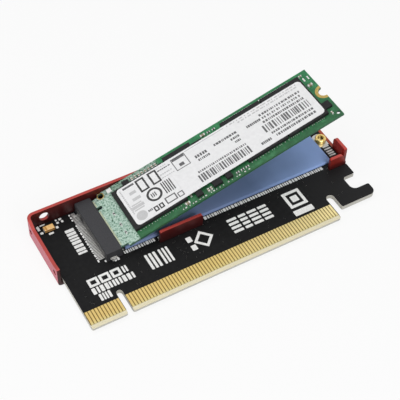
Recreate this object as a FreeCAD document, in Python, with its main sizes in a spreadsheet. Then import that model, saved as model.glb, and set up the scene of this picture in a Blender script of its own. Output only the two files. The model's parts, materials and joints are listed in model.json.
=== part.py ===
import FreeCAD, Part
import os
import re
import Sketcher

# Adapter card: a PCI Express x16 edge board carrying one M.2 drive, which stands up at
# its insertion tilt in the socket, with a folded aluminium tray under and behind the board.
# X runs along the edge connector, Y back from it and Z up from the board's underside.
# The origin is the middle of the key notch at the connector's edge.

# Sizes in millimetres, angles in degrees.

# Circuit board and its edge connector.
board_thick = 1.57
board_deep = 41.0
board_corner = 2.0
contact_pitch = 1.0
left_contacts = 11
right_contacts = 71
key_to_contact = 1.5
end_margin = 0.65
key_width = 1.9
key_depth = 8.35
tongue_corner = 0.5
end_notch_width = 2.7
end_notch_top = 9.2
end_land = 1.75
hook_past = 1.5
hook_bottom = 3.3
hook_top = 7.5
throat_deep = 4.45
throat_top = 13.1
throat_round = 2.0
throat_round_top = 1.0
hook_outer_round = 2.0
hook_small_round = 0.5
edge_bevel_rise = 1.1
edge_bevel_in = 0.4
slot_gap = 0.15
pad_width = 0.7
pad_foot = 1.15
pad_head = 5.85
skin = 0.05

# Folded tray and the tabs that pass up through the board.
tray_sheet = 1.0
tray_gap = 0.1
left_gap = 0.6
tray_deep = 22.3
tray_top = 7.4
tray_corner = 2.4
bend_round = 1.2
inner_bend = 0.25
floor_step = 0.7
relief = 0.8
tab_top = 6.1
tab_left = 18.9
tab_long = 14.6
tab_round = 0.8
end_tab_long = 6.2
end_tab_lean = 1.6
end_tab_round = 1.4
left_wall_top = 5.9
left_front_top = 6.4
left_front_long = 0.9
left_slope = 1.8
right_tab_top = 6.2
right_tab_long = 6.2
right_tab_round = 1.3
right_strip_top = 1.55
wall_round = 1.5
wall_round_small = 0.5
side_hole_front = 2.1
side_hole_space = 16.8
side_hole_level = 3.4
side_hole_round = 0.85
bore_at = 8.1
bore_level = 4.6
bore_round = 1.6
screw_round = 0.95
screw_head_round = 1.8
screw_head_deep = 0.8

# Drive's place, the standoff, its bore, land and screw.
middle_to_back = 11.05
standoff_round = 1.8
standoff_high = 1.45
stud_round = 1.4
fit_gap = 0.05
thread_round = 1.0
land_round = 2.95
screw_top = 2.0
recess_long = 1.7
recess_wide = 0.4
recess_deep = 0.5

# Thermal pad.
mat_left = 8.6
mat_to_standoff = 2.1
mat_front = 20.4
mat_to_back = 1.6
mat_thick = 1.0
mat_round = 0.3

# Socket, its slot and its contacts.
seat_x = 4.4
seat_level = 3.02
card_thick = 0.8
pivot_past = -0.06
pivot_above = 4.84
rest_tilt = 15.0
tongue_width = 19.85
housing_back = 1.75
housing_mouth = 7.0
housing_long = 22.0
housing_top = 5.05
slot_root = 4.15
root_low = 2.37
root_high = 3.97
mouth_low = 2.87
mouth_high = 4.58
tongue_gap = 0.15
card_key_at = 6.125
post_width = 0.9
pin_pitch = 0.5
upper_first = 9.25
lower_first = 9.0
pins_before_key = 29
pins_skipped = 4
upper_after_key = 5
lower_after_key = 4
pin_width = 0.2
channel_width = 0.3
pin_sheet = 0.15
pin_foot = 1.5
upper_touch = 4.05
lower_touch = 2.9
lower_peak = 6.2
housing_bevel = 0.25
nail_left = 2.9
nail_right = 5.5
nail_deep = 0.9
nail_high = 1.1
nail_sheet = 0.2
nail_gap = 0.05

# Tantalum capacitor.
tantalum_x = -8.1
tantalum_to_back = 2.85
tantalum_long = 3.2
tantalum_wide = 1.8
tantalum_high = 1.3
tantalum_lift = 0.15
tantalum_bevel = 0.2
lead_wide = 1.2
lead_sheet = 0.12
lead_rise = 0.7

# Drive's card.
card_long = 80.0
card_wide = 22.0
tongue_long = 4.0
tongue_round = 0.5
card_key_width = 1.2
card_key_deep = 3.5
end_hole_round = 1.75
ring_round = 2.75
tool_hole_round = 0.9
tool_hole_x = 4.7
tool_hole_side = 1.2
small_hole_round = 0.6
small_hole_end = 1.1
small_hole_side = 1.5
card_skin = 0.03
finger_foot = 0.2
finger_head = 2.2
finger_width = 0.35

# Drive's chips and label.
chip_high = 1.2
chip_bevel = 0.1
memory_long = 14.2
memory_space = 0.4
memory_front = -8.4
memory_back = 9.2
memory_to_end = 3.7
controller_left = 7.8
controller_right = 25.9
controller_front = -8.3
controller_back = 8.0
cache_left = 26.6
cache_right = 36.3
cache_front = -4.2
cache_back = 9.3
power_left = 36.6
power_right = 40.2
power_front = 3.6
power_back = 8.4
power_high = 0.9
label_left = 8.9
label_to_end = 4.4
label_front = -7.4
label_back = 7.9
label_round = 1.2
label_thick = 0.1

# Places that follow from the sizes above.
places = {
    "left_end": "key_to_contact + (left_contacts - 1) * contact_pitch + end_margin",
    "right_end": "key_to_contact + (right_contacts - 1) * contact_pitch + end_margin",
    "standoff_at": "seat_x + card_long",
    "drive_middle": "board_deep - middle_to_back",
    "board_right": "standoff_at + end_land",
    "hook_left": "right_end + end_notch_width",
    "hook_reach": "board_right + hook_past",
    "throat_root": "board_right - throat_deep",
    "tray_left": "left_end + left_gap",
    "tray_right": "board_right + tray_gap",
    "tray_back": "board_deep + tray_gap",
    "tray_front": "tray_back - tray_deep",
    "floor_front": "tray_front + floor_step",
    "tab_right": "tab_left + tab_long",
    "end_tab_right": "board_right - tray_gap",
    "end_tab_left": "end_tab_right - end_tab_long",
    "side_hole": "floor_front + side_hole_front",
    "mat_right": "standoff_at - mat_to_standoff",
    "mat_back": "board_deep - mat_to_back",
    "pivot_x": "seat_x + pivot_past",
    "pivot_z": "seat_level + pivot_above",
    "housing_front": "drive_middle - housing_long / 2",
    "housing_rear": "drive_middle + housing_long / 2",
    "slot_front": "drive_middle - tongue_width / 2 - tongue_gap",
    "past_key": "(pins_before_key + pins_skipped) * pin_pitch",
    "upper_at": "drive_middle - upper_first",
    "lower_at": "drive_middle - lower_first",
    "beam_low": "root_high + fit_gap",
    "beam_high": "root_high + fit_gap + pin_sheet",
    "tantalum_y": "board_deep - tantalum_to_back",
    "tool_hole_y": "card_wide / 2 - tool_hole_side",
    "small_hole_x": "card_long - small_hole_end",
    "small_hole_y": "card_wide / 2 - small_hole_side",
    "memory_right": "card_long - memory_to_end",
    "memory_seam": "memory_right - memory_long",
    "memory_left": "memory_seam - memory_space - memory_long",
    "label_right": "card_long - label_to_end",
}

# Small parts: middle along the card, middle across it, length, width and height.
small_parts = {
    "drive_inductors": ((29.7, -8.7, 2.1, 1.9, 1.0), (36.0, -8.7, 3.0, 1.9, 1.0), (40.1, -8.7, 2.0, 1.9, 1.0)),
    "drive_side_chips": ((13.3, 8.9, 2.2, 1.6, 0.8), (77.6, -5.3, 2.4, 2.6, 0.7)),
    "drive_capacitors": (
        (25.2, -9.4, 1.5, 0.8, 0.6), (27.3, -7.4, 0.6, 1.1, 0.5), (32.6, -9.2, 0.6, 1.0, 0.5),
        (33.6, -9.2, 0.6, 1.0, 0.5), (15.6, 9.0, 0.6, 1.1, 0.5), (16.8, 9.0, 0.6, 1.1, 0.5),
        (18.0, 9.0, 0.6, 1.1, 0.5), (19.2, 9.0, 0.6, 1.1, 0.5), (20.4, 9.0, 0.6, 1.1, 0.5),
        (21.6, 9.0, 0.6, 1.1, 0.5), (22.8, 9.0, 0.6, 1.1, 0.5), (24.0, 9.0, 0.6, 1.1, 0.5),
        (41.3, 9.3, 1.6, 0.8, 0.6), (77.9, 4.4, 1.6, 0.8, 0.6), (77.3, 9.4, 1.0, 0.5, 0.4),
        (77.3, -8.6, 0.5, 1.0, 0.4)),
    "drive_resistors": (
        (42.9, -9.2, 1.0, 0.5, 0.35), (44.6, -9.2, 1.0, 0.5, 0.35), (46.3, -9.2, 1.0, 0.5, 0.35),
        (43.4, 9.3, 1.0, 0.5, 0.35), (45.2, 9.3, 1.0, 0.5, 0.35), (5.2, -6.6, 0.5, 1.0, 0.35),
        (5.2, -3.2, 0.5, 1.0, 0.35), (5.2, 1.4, 0.5, 1.0, 0.35)),
}


def part_name(group, number):
    return group.replace("drive_", "") + "_" + "abcdefghijklmnopqrstuvwxyz"[number]


driving = {name: value for name, value in list(vars().items()) if isinstance(value, (int, float))}
for name, spots in small_parts.items():
    for number, spot in enumerate(spots):
        for word, value in zip(("_at", "_across", "_long", "_wide", "_high"), spot):
            driving[part_name(name, number) + word] = value

V = FreeCAD.Vector
doc = FreeCAD.newDocument("AdapterCard")
sheet = doc.addObject("Spreadsheet::Sheet", "Size")
for row, (name, value) in enumerate(driving.items(), 1):
    sheet.set("A%d" % row, name)
    sheet.set("B%d" % row, str(value))
    sheet.setAlias("B%d" % row, name)
doc.recompute()


def formula(words):
    """Turn a phrase of names into an expression that reads the sheet."""
    def meaning(match):
        name = match.group()
        if name in places:
            return "(" + formula(places[name]) + ")"
        return "Size." + name if name in driving else name
    return re.sub(r"[a-z]\w+", meaning, words)


def bind(thing, prop, words):
    thing.setExpression(prop, formula(words))


def piece(label):
    body = doc.addObject("PartDesign::Body", label)
    body.Label = label
    body.AllowCompound = True
    return body


def origin_plane(body, role):
    return [f for f in body.Origin.OriginFeatures if f.Role == role][0]


def sketch_on(body, plane, start):
    """A sketch on one of the body's own planes, moved along the world axis to start."""
    sketch = body.newObject("Sketcher::SketchObject", body.Label + "_sketch")
    sketch.AttachmentSupport = [(origin_plane(body, plane + "_Plane"), "")]
    sketch.MapMode = "FlatFace"
    sign = "-1 * " if plane == "XZ" else ""
    bind(sketch, "AttachmentOffset.Base.z", sign + "(" + start + ")")
    return sketch


def pin_down(sketch, geometry, point, at):
    for kind, words in zip(("DistanceX", "DistanceY"), at):
        spot = sketch.getPoint(geometry, point)
        now = spot.x if kind == "DistanceX" else spot.y
        index = sketch.addConstraint(Sketcher.Constraint(kind, -1, 1, geometry, point, now))
        bind(sketch, "Constraints[%d]" % index, words)


def outline(body, plane, start, corners):
    """A closed outline of straight lines whose corners are held by expressions."""
    sketch = sketch_on(body, plane, start)
    turn = FreeCAD.Rotation(V(0, 0, 1), 360.0 / len(corners))
    spots = [V(20, 5, 0)]
    for _ in corners[1:]:
        spots.append(turn.multVec(spots[-1]))
    for here, there in zip(spots, spots[1:] + spots[:1]):
        sketch.addGeometry(Part.LineSegment(here, there), False)
    for k, at in enumerate(corners):
        sketch.addConstraint(Sketcher.Constraint("Coincident", k - 1 if k else len(corners) - 1, 2, k, 1))
        pin_down(sketch, k, 1, at)
    return sketch


def circle(body, plane, start, centre, radius):
    sketch = sketch_on(body, plane, start)
    sketch.addGeometry(Part.Circle(V(5, 5, 0), V(0, 0, 1), 2), False)
    pin_down(sketch, 0, 3, centre)
    index = sketch.addConstraint(Sketcher.Constraint("Radius", 0, 2))
    bind(sketch, "Constraints[%d]" % index, radius)
    return sketch


def rectangle(x_low, x_high, y_low, y_high):
    return [(x_low, y_low), (x_high, y_low), (x_high, y_high), (x_low, y_high)]


def extrude(body, sketch, plane, depth):
    """Add material from the sketch towards the positive world axis."""
    pad = body.newObject("PartDesign::Pad", body.Label + "_pad")
    pad.Profile = sketch
    pad.Reversed = plane == "XZ"
    bind(pad, "Length", depth)
    body.Tip = pad
    doc.recompute()
    return pad


def cut(body, sketch, plane, depth):
    """Take material from the sketch towards the positive world axis."""
    before = body.Shape.Volume
    pocket = body.newObject("PartDesign::Pocket", body.Label + "_pocket")
    pocket.Profile = sketch
    pocket.Reversed = plane != "XZ"
    bind(pocket, "Length", depth)
    body.Tip = pocket
    doc.recompute()
    if body.Shape.Volume > before - 1e-4:
        raise RuntimeError("a pocket of " + body.Label + " cuts nothing")
    return pocket


def repeat(body, features, axis, count, pitch):
    pattern = body.newObject("PartDesign::LinearPattern", body.Label + "_row")
    pattern.Originals = features
    pattern.Direction = (origin_plane(body, axis + "_Axis"), [""])
    bind(pattern, "Occurrences", count)
    bind(pattern, "Length", "(" + count + " - 1) * " + pitch)
    body.Tip = pattern
    doc.recompute()
    return pattern


def corner_edges(body, sketch, corners, plane):
    """The edges of the body that stand on the named corners of the sketch."""
    across = {"XY": V(0, 0, 1), "XZ": V(0, 1, 0), "YZ": V(1, 0, 0)}[plane]
    spots = [sketch.Placement.multVec(sketch.getPoint(k, 1)) for k in corners]
    found = []
    for number, edge in enumerate(body.Shape.Edges, 1):
        ends = [vertex.Point for vertex in edge.Vertexes]
        if len(ends) == 2 and (ends[1] - ends[0]).cross(across).Length < 1e-6:
            if any((ends[0] - spot).cross(across).Length < 1e-4 for spot in spots):
                found.append("Edge%d" % number)
    return found


def soften(body, kind, edges, amount):
    """Round (Fillet) or bevel (Chamfer) the named edges of the body as it stands."""
    base = body.Tip
    feature = body.newObject("PartDesign::" + kind, body.Label + "_" + kind.lower())
    feature.Base = (base, edges)
    bind(feature, "Radius" if kind == "Fillet" else "Size", amount)
    body.Tip = feature
    doc.recompute()
    if not edges or "Invalid" in feature.State:
        raise RuntimeError("%s: %s failed on %s" % (body.Label, kind, edges))
    return feature


def round_corners(body, sketch, corners, plane, radius):
    return soften(body, "Fillet", corner_edges(body, sketch, corners, plane), radius)


def edges_where(body, test):
    return ["Edge%d" % n for n, edge in enumerate(body.Shape.Edges, 1) if test(edge.BoundBox)]


def block(label, x_low, x_high, y_low, y_high, start, depth):
    """A plain block as a body of its own."""
    body = piece(label)
    extrude(body, outline(body, "XY", start, rectangle(x_low, x_high, y_low, y_high)), "XY", depth)
    return body


def add_block(body, x_low, x_high, y_low, y_high, start, depth):
    return extrude(body, outline(body, "XY", start, rectangle(x_low, x_high, y_low, y_high)), "XY", depth)


def cut_block(body, x_low, x_high, y_low, y_high, start, depth):
    return cut(body, outline(body, "XY", start, rectangle(x_low, x_high, y_low, y_high)), "XY", depth)

# Circuit board: the connector's tongues, the key notch, the end notch and the hook.
board = piece("adapter_board")
board_shape = outline(board, "XY", "0", [
    ("-left_end", "0"),
    ("right_end", "0"),
    ("right_end", "end_notch_top"),
    ("hook_left", "end_notch_top"),
    ("hook_left", "hook_bottom"),
    ("hook_reach", "hook_bottom"),
    ("hook_reach", "hook_top"),
    ("throat_root", "hook_top"),
    ("throat_root", "throat_top"),
    ("board_right", "throat_top"),
    ("board_right", "board_deep"),
    ("-left_end", "board_deep"),
])
extrude(board, board_shape, "XY", "board_thick")
round_corners(board, board_shape, [2, 3], "XY", "end_notch_width / 2 - 0.02")
round_corners(board, board_shape, [4, 6, 9], "XY", "hook_small_round")
round_corners(board, board_shape, [5], "XY", "hook_outer_round")
round_corners(board, board_shape, [7], "XY", "throat_round")
round_corners(board, board_shape, [8], "XY", "throat_round_top")
round_corners(board, board_shape, [11], "XY", "board_corner")

# Key notch: a straight slot with a fully round end.
cut_block(board, "-key_width / 2", "key_width / 2", "-1", "key_depth - key_width / 2",
          "-1", "board_thick + 2")
cut(board, circle(board, "XY", "-1", ("0", "key_depth - key_width / 2"), "key_width / 2"),
    "XY", "board_thick + 2")
soften(board, "Fillet", edges_where(board, lambda b: b.ZLength > 1 and b.YMax < 1e-3), "tongue_corner")

# Slots for the two front tabs; the right one is open to the board's end.
cut_block(board, "tab_left - slot_gap", "tab_right + slot_gap",
          "tray_front - tray_sheet - slot_gap", "tray_front + slot_gap", "-1", "board_thick + 2")
cut_block(board, "end_tab_left - slot_gap", "board_right + 1",
          "tray_front - tray_sheet - slot_gap", "tray_front + slot_gap", "-1", "board_thick + 2")
cut(board, circle(board, "XY", "-1", ("standoff_at", "drive_middle"), "stud_round + fit_gap"),
    "XY", "board_thick + 2")

# Lead-in bevels along both faces of the connector's edge.
for low, high in (("board_thick - edge_bevel_in", "board_thick"), ("edge_bevel_in", "0")):
    bevel = outline(board, "YZ", "-left_end - 1", [("-0.1", high), ("edge_bevel_rise", high), ("-0.1", low)])
    cut(board, bevel, "YZ", "left_end + right_end + 2")

# Edge contacts: one gold strip for each contact on each face.
for label, start in (("edge_contacts_top", "board_thick"), ("edge_contacts_bottom", "-skin")):
    contacts = piece(label)
    left = add_block(contacts, "end_margin - left_end - pad_width / 2", "end_margin - left_end + pad_width / 2",
                     "pad_foot", "pad_head", start, "skin")
    repeat(contacts, [left], "X", "left_contacts", "contact_pitch")
    right = add_block(contacts, "key_to_contact - pad_width / 2", "key_to_contact + pad_width / 2",
                      "pad_foot", "pad_head", start, "skin")
    repeat(contacts, [right], "X", "right_contacts", "contact_pitch")

# Aluminium tray, folded from one sheet: floor, full back wall, low left wall that runs
# round the back corner, right wall with a raised tab, and two tabs at the front.
tray = piece("case_tray")
tray_block = outline(tray, "XY", "-tray_sheet", rectangle(
    "-tray_left - tray_sheet", "tray_right + tray_sheet", "tray_front - tray_sheet", "tray_back + tray_sheet"))
extrude(tray, tray_block, "XY", "tray_sheet + tray_top")
round_corners(tray, tray_block, [3], "XY", "tray_corner")
soften(tray, "Fillet", edges_where(tray, lambda b: b.ZMax < -0.99), "bend_round")
tray_hollow = outline(tray, "XY", "0", rectangle("-tray_left", "tray_right", "tray_front", "tray_back"))
cut(tray, tray_hollow, "XY", "tray_top + 1")
round_corners(tray, tray_hollow, [3], "XY", "tray_corner - tray_sheet")
soften(tray, "Fillet", edges_where(tray, lambda b: abs(b.ZMin) < 1e-6 and b.ZMax < 1e-6), "inner_bend")

# The front wall is cut away but for its two tabs, each with a relief notch beside it.
for x_low, x_high in (("-tray_left - tray_sheet - 1", "tab_left - relief"),
                      ("tab_right + relief", "end_tab_left - relief"),
                      ("end_tab_right", "tray_right + tray_sheet + 1")):
    cut_block(tray, x_low, x_high, "tray_front - tray_sheet - 1", "floor_front",
              "-tray_sheet - 1", "tray_sheet + tray_top + 2")
for x_low, x_high in (("tab_left - relief", "tab_left"), ("tab_right", "tab_right + relief"),
                      ("end_tab_left - relief", "end_tab_left")):
    cut_block(tray, x_low, x_high, "tray_front - tray_sheet - 1", "floor_front + relief / 2",
              "-tray_sheet - 1", "tray_sheet + tray_top + 2")
cut_block(tray, "tab_left - 1", "tray_right + tray_sheet + 1", "tray_front - tray_sheet - 1", "floor_front",
          "tab_top", "tray_top + 1 - tab_top")

# A slit parts the right wall from the back wall.
cut_block(tray, "tray_right", "tray_right + tray_sheet + 1", "tray_back - relief / 2", "tray_back + tray_sheet + 1",
          "-tray_sheet - 1", "tray_sheet + tray_top + 2")

# The left wall is a little higher at its front end and climbs to the back wall.
left_profile = outline(tray, "YZ", "-tray_left - tray_sheet - 1", [
    ("floor_front - 1", "left_front_top"),
    ("floor_front + left_front_long", "left_front_top"),
    ("floor_front + left_front_long + left_slope", "left_wall_top"),
    ("tray_back - tray_corner - left_slope", "left_wall_top"),
    ("tray_back - tray_corner + 0.9", "tray_top"),
    ("tray_back - tray_corner + 0.9", "tray_top + 1"),
    ("floor_front - 1", "tray_top + 1"),
])
cut(tray, left_profile, "YZ", "tray_sheet + 1")

# The right wall has one raised tab; behind it only a strip level with the board is left.
right_profile = outline(tray, "YZ", "tray_right", [
    ("floor_front - 1", "right_tab_top"),
    ("floor_front + right_tab_long", "right_tab_top"),
    ("floor_front + right_tab_long", "right_strip_top"),
    ("tray_back + tray_sheet + 1", "right_strip_top"),
    ("tray_back + tray_sheet + 1", "tray_top + 1"),
    ("floor_front - 1", "tray_top + 1"),
])
cut(tray, right_profile, "YZ", "tray_sheet + 1")

# The end tab leans: its right edge slants inwards towards the top.
lean = outline(tray, "XZ", "tray_front - tray_sheet - 1", [
    ("end_tab_right + 1", "board_thick + 0.8"),
    ("end_tab_right + 1", "tab_top + 1"),
    ("end_tab_right - end_tab_lean", "tab_top + 1"),
    ("end_tab_right - end_tab_lean", "tab_top"),
    ("end_tab_right", "board_thick + 0.8"),
])
cut(tray, lean, "XZ", "tray_sheet + 1.05")


def short_top(axis, level, near):
    """The level edges across the sheet, along the axis, at a height and near a place."""
    wide = 1 if axis == "Y" else 0

    def fits(box):
        spans = (box.XLength, box.YLength)
        flat = abs(box.ZMin - level) < 1e-3 and box.ZLength < 1e-3
        return flat and abs(spans[wide] - tray_sheet) < 1e-3 and spans[1 - wide] < 1e-3 and near(box)
    return edges_where(tray, fits)

soften(tray, "Fillet", short_top("Y", tab_top, lambda b: b.XMin < 82), "tab_round")
soften(tray, "Fillet", short_top("Y", tab_top, lambda b: b.XMin > 82), "end_tab_round")
soften(tray, "Fillet", short_top("X", left_front_top, lambda b: True), "wall_round_small")
soften(tray, "Fillet", short_top("X", right_tab_top, lambda b: b.YMin < 21), "wall_round_small")
soften(tray, "Fillet", short_top("X", right_tab_top, lambda b: b.YMin > 21), "right_tab_round")
soften(tray, "Fillet", short_top("Y", tray_top, lambda b: b.XMin > 50), "wall_round")

# Openings: two holes in the left wall, one in the back wall, and the screw's seat.
for along in ("side_hole", "side_hole + side_hole_space"):
    cut(tray, circle(tray, "YZ", "-tray_left - tray_sheet - 1", (along, "side_hole_level"), "side_hole_round"),
        "YZ", "tray_sheet + 1.2")
cut(tray, circle(tray, "XZ", "tray_back - 0.1", ("-bore_at", "bore_level"), "bore_round"), "XZ", "tray_sheet + 1")
cut(tray, circle(tray, "XY", "-tray_sheet - 1", ("standoff_at", "drive_middle"), "screw_round + fit_gap"),
    "XY", "tray_sheet + 2")
seat = tray.newObject("PartDesign::SubtractiveCone", "case_tray_seat")
seat.AttachmentSupport = [(origin_plane(tray, "XY_Plane"), "")]
seat.MapMode = "FlatFace"
bind(seat, "AttachmentOffset.Base.x", "standoff_at")
bind(seat, "AttachmentOffset.Base.y", "drive_middle")
bind(seat, "AttachmentOffset.Base.z", "-tray_sheet")
bind(seat, "Radius1", "screw_head_round + fit_gap")
bind(seat, "Radius2", "screw_round + fit_gap")
bind(seat, "Height", "screw_head_deep + fit_gap")
tray.Tip = seat
doc.recompute()

# Thermal pad.
mat = block("thermal_pad", "mat_left", "mat_right", "mat_front", "mat_back", "board_thick", "mat_thick")
soften(mat, "Fillet", edges_where(mat, lambda b: b.ZMin > 2), "mat_round")

# Socket: a low housing open towards +X. Its slot is a wedge, wider at the mouth, so the
# card goes in tilted and is then swung down; a post fills the card's key notch. Above and
# below the slot each contact has a channel of its own.
housing = piece("socket_housing")
add_block(housing, "housing_back", "housing_mouth", "housing_front", "housing_rear",
          "board_thick", "housing_top - board_thick")
soften(housing, "Chamfer", edges_where(housing, lambda b: b.ZMin > 4 and b.YLength > 5), "housing_bevel")
wedge = outline(housing, "XZ", "slot_front", [
    ("slot_root", "root_low"),
    ("housing_mouth", "mouth_low"),
    ("housing_mouth + 1", "mouth_low"),
    ("housing_mouth + 1", "mouth_high"),
    ("housing_mouth", "mouth_high"),
    ("slot_root", "root_high"),
])
cut(housing, wedge, "XZ", "tongue_width + 2 * tongue_gap")
add_block(housing, "slot_root - 0.1", "housing_mouth",
          "drive_middle + card_key_at - post_width / 2", "drive_middle + card_key_at + post_width / 2",
          "root_low - 0.1", "mouth_high + 0.1 - root_low")

# The hold-down notches at the two ends of the housing.
for y_low, y_high in (("housing_front - 1", "housing_front + nail_deep"),
                      ("housing_rear - nail_deep", "housing_rear + 1")):
    cut_block(housing, "nail_left", "nail_right", y_low, y_high, "board_thick - 1", "1 + nail_high")


def channel(y_middle, x_low, x_high, z_low, z_high):
    """One channel cut in the housing for a contact."""
    return cut_block(housing, x_low, x_high, y_middle + " - channel_width / 2",
                     y_middle + " + channel_width / 2", z_low, z_high + " - (" + z_low + ")")

upper_rows = (("upper_at", "pins_before_key"), ("upper_at + past_key", "upper_after_key"))
lower_rows = (("lower_at", "pins_before_key"), ("lower_at + past_key", "lower_after_key"))
for at, count in upper_rows:
    groove = channel(at, "housing_back - 1", "housing_back + 0.25", "board_thick - 1", "beam_high + fit_gap")
    tunnel = channel(at, "housing_back", "slot_root + 1.85", "root_high - 0.02", "beam_high + fit_gap")
    repeat(housing, [groove, tunnel], "Y", count, "pin_pitch")
for at, count in lower_rows:
    bay = channel(at, "slot_root + 0.25", "housing_mouth + 1", "board_thick - 1", "mouth_low + 0.1")
    repeat(housing, [bay], "Y", count, "pin_pitch")

# Upper contacts: a foot behind the housing, a leg up its back and a beam over the slot
# that dips to the card's upper face.
upper = piece("socket_contacts_upper")
for at, count in upper_rows:
    pin = outline(upper, "XZ", at + " - pin_width / 2", [
        ("housing_back - pin_foot", "board_thick"),
        ("housing_back + 0.2", "board_thick"),
        ("housing_back + 0.2", "beam_low"),
        ("slot_root + 0.55", "beam_low"),
        ("slot_root + 0.75", "upper_touch"),
        ("slot_root + 0.9", "upper_touch"),
        ("slot_root + 1.3", "beam_low + 0.08"),
        ("slot_root + 1.3", "beam_high"),
        ("housing_back + 0.05", "beam_high"),
        ("housing_back + 0.05", "board_thick + pin_sheet"),
        ("housing_back - pin_foot", "board_thick + pin_sheet"),
    ])
    repeat(upper, [extrude(upper, pin, "XZ", "pin_width")], "Y", count, "pin_pitch")

# Lower contacts: a foot at the mouth, a run back under the slot and a sprung arm that
# rises towards the mouth under the card's lower face.
lower = piece("socket_contacts_lower")
for at, count in lower_rows:
    pin = outline(lower, "XZ", at + " - pin_width / 2", [
        ("housing_mouth + 1.0", "board_thick"),
        ("slot_root + 0.3", "board_thick"),
        ("slot_root + 0.3", "board_thick + 0.6"),
        ("lower_peak - 0.05", "lower_touch"),
        ("lower_peak + 0.15", "lower_touch"),
        ("lower_peak + 0.5", "lower_touch - 0.2"),
        ("lower_peak + 0.4", "lower_touch - 0.3"),
        ("lower_peak + 0.05", "lower_touch - 0.16"),
        ("slot_root + 0.45", "board_thick + 0.48"),
        ("slot_root + 0.45", "board_thick + pin_sheet"),
        ("housing_mouth + 1.0", "board_thick + pin_sheet"),
    ])
    repeat(lower, [extrude(lower, pin, "XZ", "pin_width")], "Y", count, "pin_pitch")

# Hold-downs: bent strips in the end notches, soldered to the board.
nails = piece("socket_hold_downs")
for foot, wall in ((("housing_front", "housing_front + nail_deep - nail_gap"),
                    ("housing_front + nail_deep - nail_gap - nail_sheet", "housing_front + nail_deep - nail_gap")),
                   (("housing_rear - nail_deep + nail_gap", "housing_rear"),
                    ("housing_rear - nail_deep + nail_gap", "housing_rear - nail_deep + nail_gap + nail_sheet"))):
    add_block(nails, "nail_left + 0.2", "nail_right - 0.2", foot[0], foot[1], "board_thick", "nail_sheet")
    add_block(nails, "nail_left + 0.2", "nail_right - 0.2", wall[0], wall[1], "board_thick", "nail_high - nail_gap")

# Standoff with its land on the board, and the screw that holds it from below.
standoff = piece("standoff")
extrude(standoff, circle(standoff, "XY", "board_thick", ("standoff_at", "drive_middle"), "standoff_round"),
        "XY", "standoff_high")
extrude(standoff, circle(standoff, "XY", "fit_gap", ("standoff_at", "drive_middle"), "stud_round"),
        "XY", "board_thick - fit_gap")
cut(standoff, circle(standoff, "XY", "-1", ("standoff_at", "drive_middle"), "thread_round"),
    "XY", "board_thick + standoff_high + 2")
soften(standoff, "Chamfer", edges_where(standoff, lambda b: b.ZMin > 3 and b.XLength > 3), "0.2")

land = piece("standoff_land")
extrude(land, circle(land, "XY", "board_thick", ("standoff_at", "drive_middle"), "land_round"), "XY", "skin")
cut(land, circle(land, "XY", "board_thick - 1", ("standoff_at", "drive_middle"), "standoff_round + fit_gap"),
    "XY", "2")
cut_block(land, "standoff_at - land_round - 1", "mat_right + fit_gap", "mat_front", "mat_back",
          "board_thick - 1", "2")
cut_block(land, "board_right - fit_gap", "standoff_at + land_round + 1", "mat_front", "mat_back",
          "board_thick - 1", "2")

screw = piece("tray_screw")
extrude(screw, circle(screw, "XY", "screw_head_deep - tray_sheet", ("standoff_at", "drive_middle"), "screw_round"),
        "XY", "tray_sheet - screw_head_deep + screw_top")
head = screw.newObject("PartDesign::AdditiveCone", "tray_screw_head")
head.AttachmentSupport = [(origin_plane(screw, "XY_Plane"), "")]
head.MapMode = "FlatFace"
bind(head, "AttachmentOffset.Base.x", "standoff_at")
bind(head, "AttachmentOffset.Base.y", "drive_middle")
bind(head, "AttachmentOffset.Base.z", "-tray_sheet")
bind(head, "Radius1", "screw_head_round")
bind(head, "Radius2", "screw_round")
bind(head, "Height", "screw_head_deep")
screw.Tip = head
doc.recompute()
cut_block(screw, "standoff_at - recess_long / 2", "standoff_at + recess_long / 2",
          "drive_middle - recess_wide / 2", "drive_middle + recess_wide / 2", "-tray_sheet - 1", "1 + recess_deep")
cut_block(screw, "standoff_at - recess_wide / 2", "standoff_at + recess_wide / 2",
          "drive_middle - recess_long / 2", "drive_middle + recess_long / 2", "-tray_sheet - 1", "1 + recess_deep")

# Tantalum capacitor and its two terminals.
tantalum = block("tantalum_capacitor", "tantalum_x - tantalum_long / 2", "tantalum_x + tantalum_long / 2",
                 "tantalum_y - tantalum_wide / 2", "tantalum_y + tantalum_wide / 2",
                 "board_thick + tantalum_lift", "tantalum_high - tantalum_lift")
soften(tantalum, "Chamfer", edges_where(tantalum, lambda b: b.ZMin > 2.5), "tantalum_bevel")
leads = piece("capacitor_terminals")
for side in ("-1", "1"):
    end = "tantalum_x + " + side + " * (tantalum_long / 2 "
    edges = [end + "- 0.8)", end + "+ lead_sheet)"]
    ends = [end + ")", end + "+ lead_sheet)"]
    if side == "-1":
        edges.reverse()
        ends.reverse()
    add_block(leads, edges[0], edges[1], "tantalum_y - lead_wide / 2", "tantalum_y + lead_wide / 2",
              "board_thick", "lead_sheet")
    add_block(leads, ends[0], ends[1], "tantalum_y - lead_wide / 2", "tantalum_y + lead_wide / 2",
              "board_thick", "lead_rise")


# The drive is built lying flat: X from its contact edge, Y from its centre line and Z up
# from its underside. Each piece is then swung up about one line above the socket, from
# lying fully home on the standoff to the rest tilt with the card drawn a little way out.
def place_on_tilt(body):
    """Swing a flat-built drive piece up to the rest tilt."""
    body.Placement = FreeCAD.Placement(V(0, 0, 0), FreeCAD.Rotation(V(0, 1, 0), -10))
    bind(body, "Placement.Rotation.Angle", "-rest_tilt")
    bind(body, "Placement.Base.x", "pivot_x - pivot_past * cos(rest_tilt) + pivot_above * sin(rest_tilt)")
    bind(body, "Placement.Base.y", "drive_middle")
    bind(body, "Placement.Base.z", "pivot_z - pivot_past * sin(rest_tilt) - pivot_above * cos(rest_tilt)")

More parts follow.
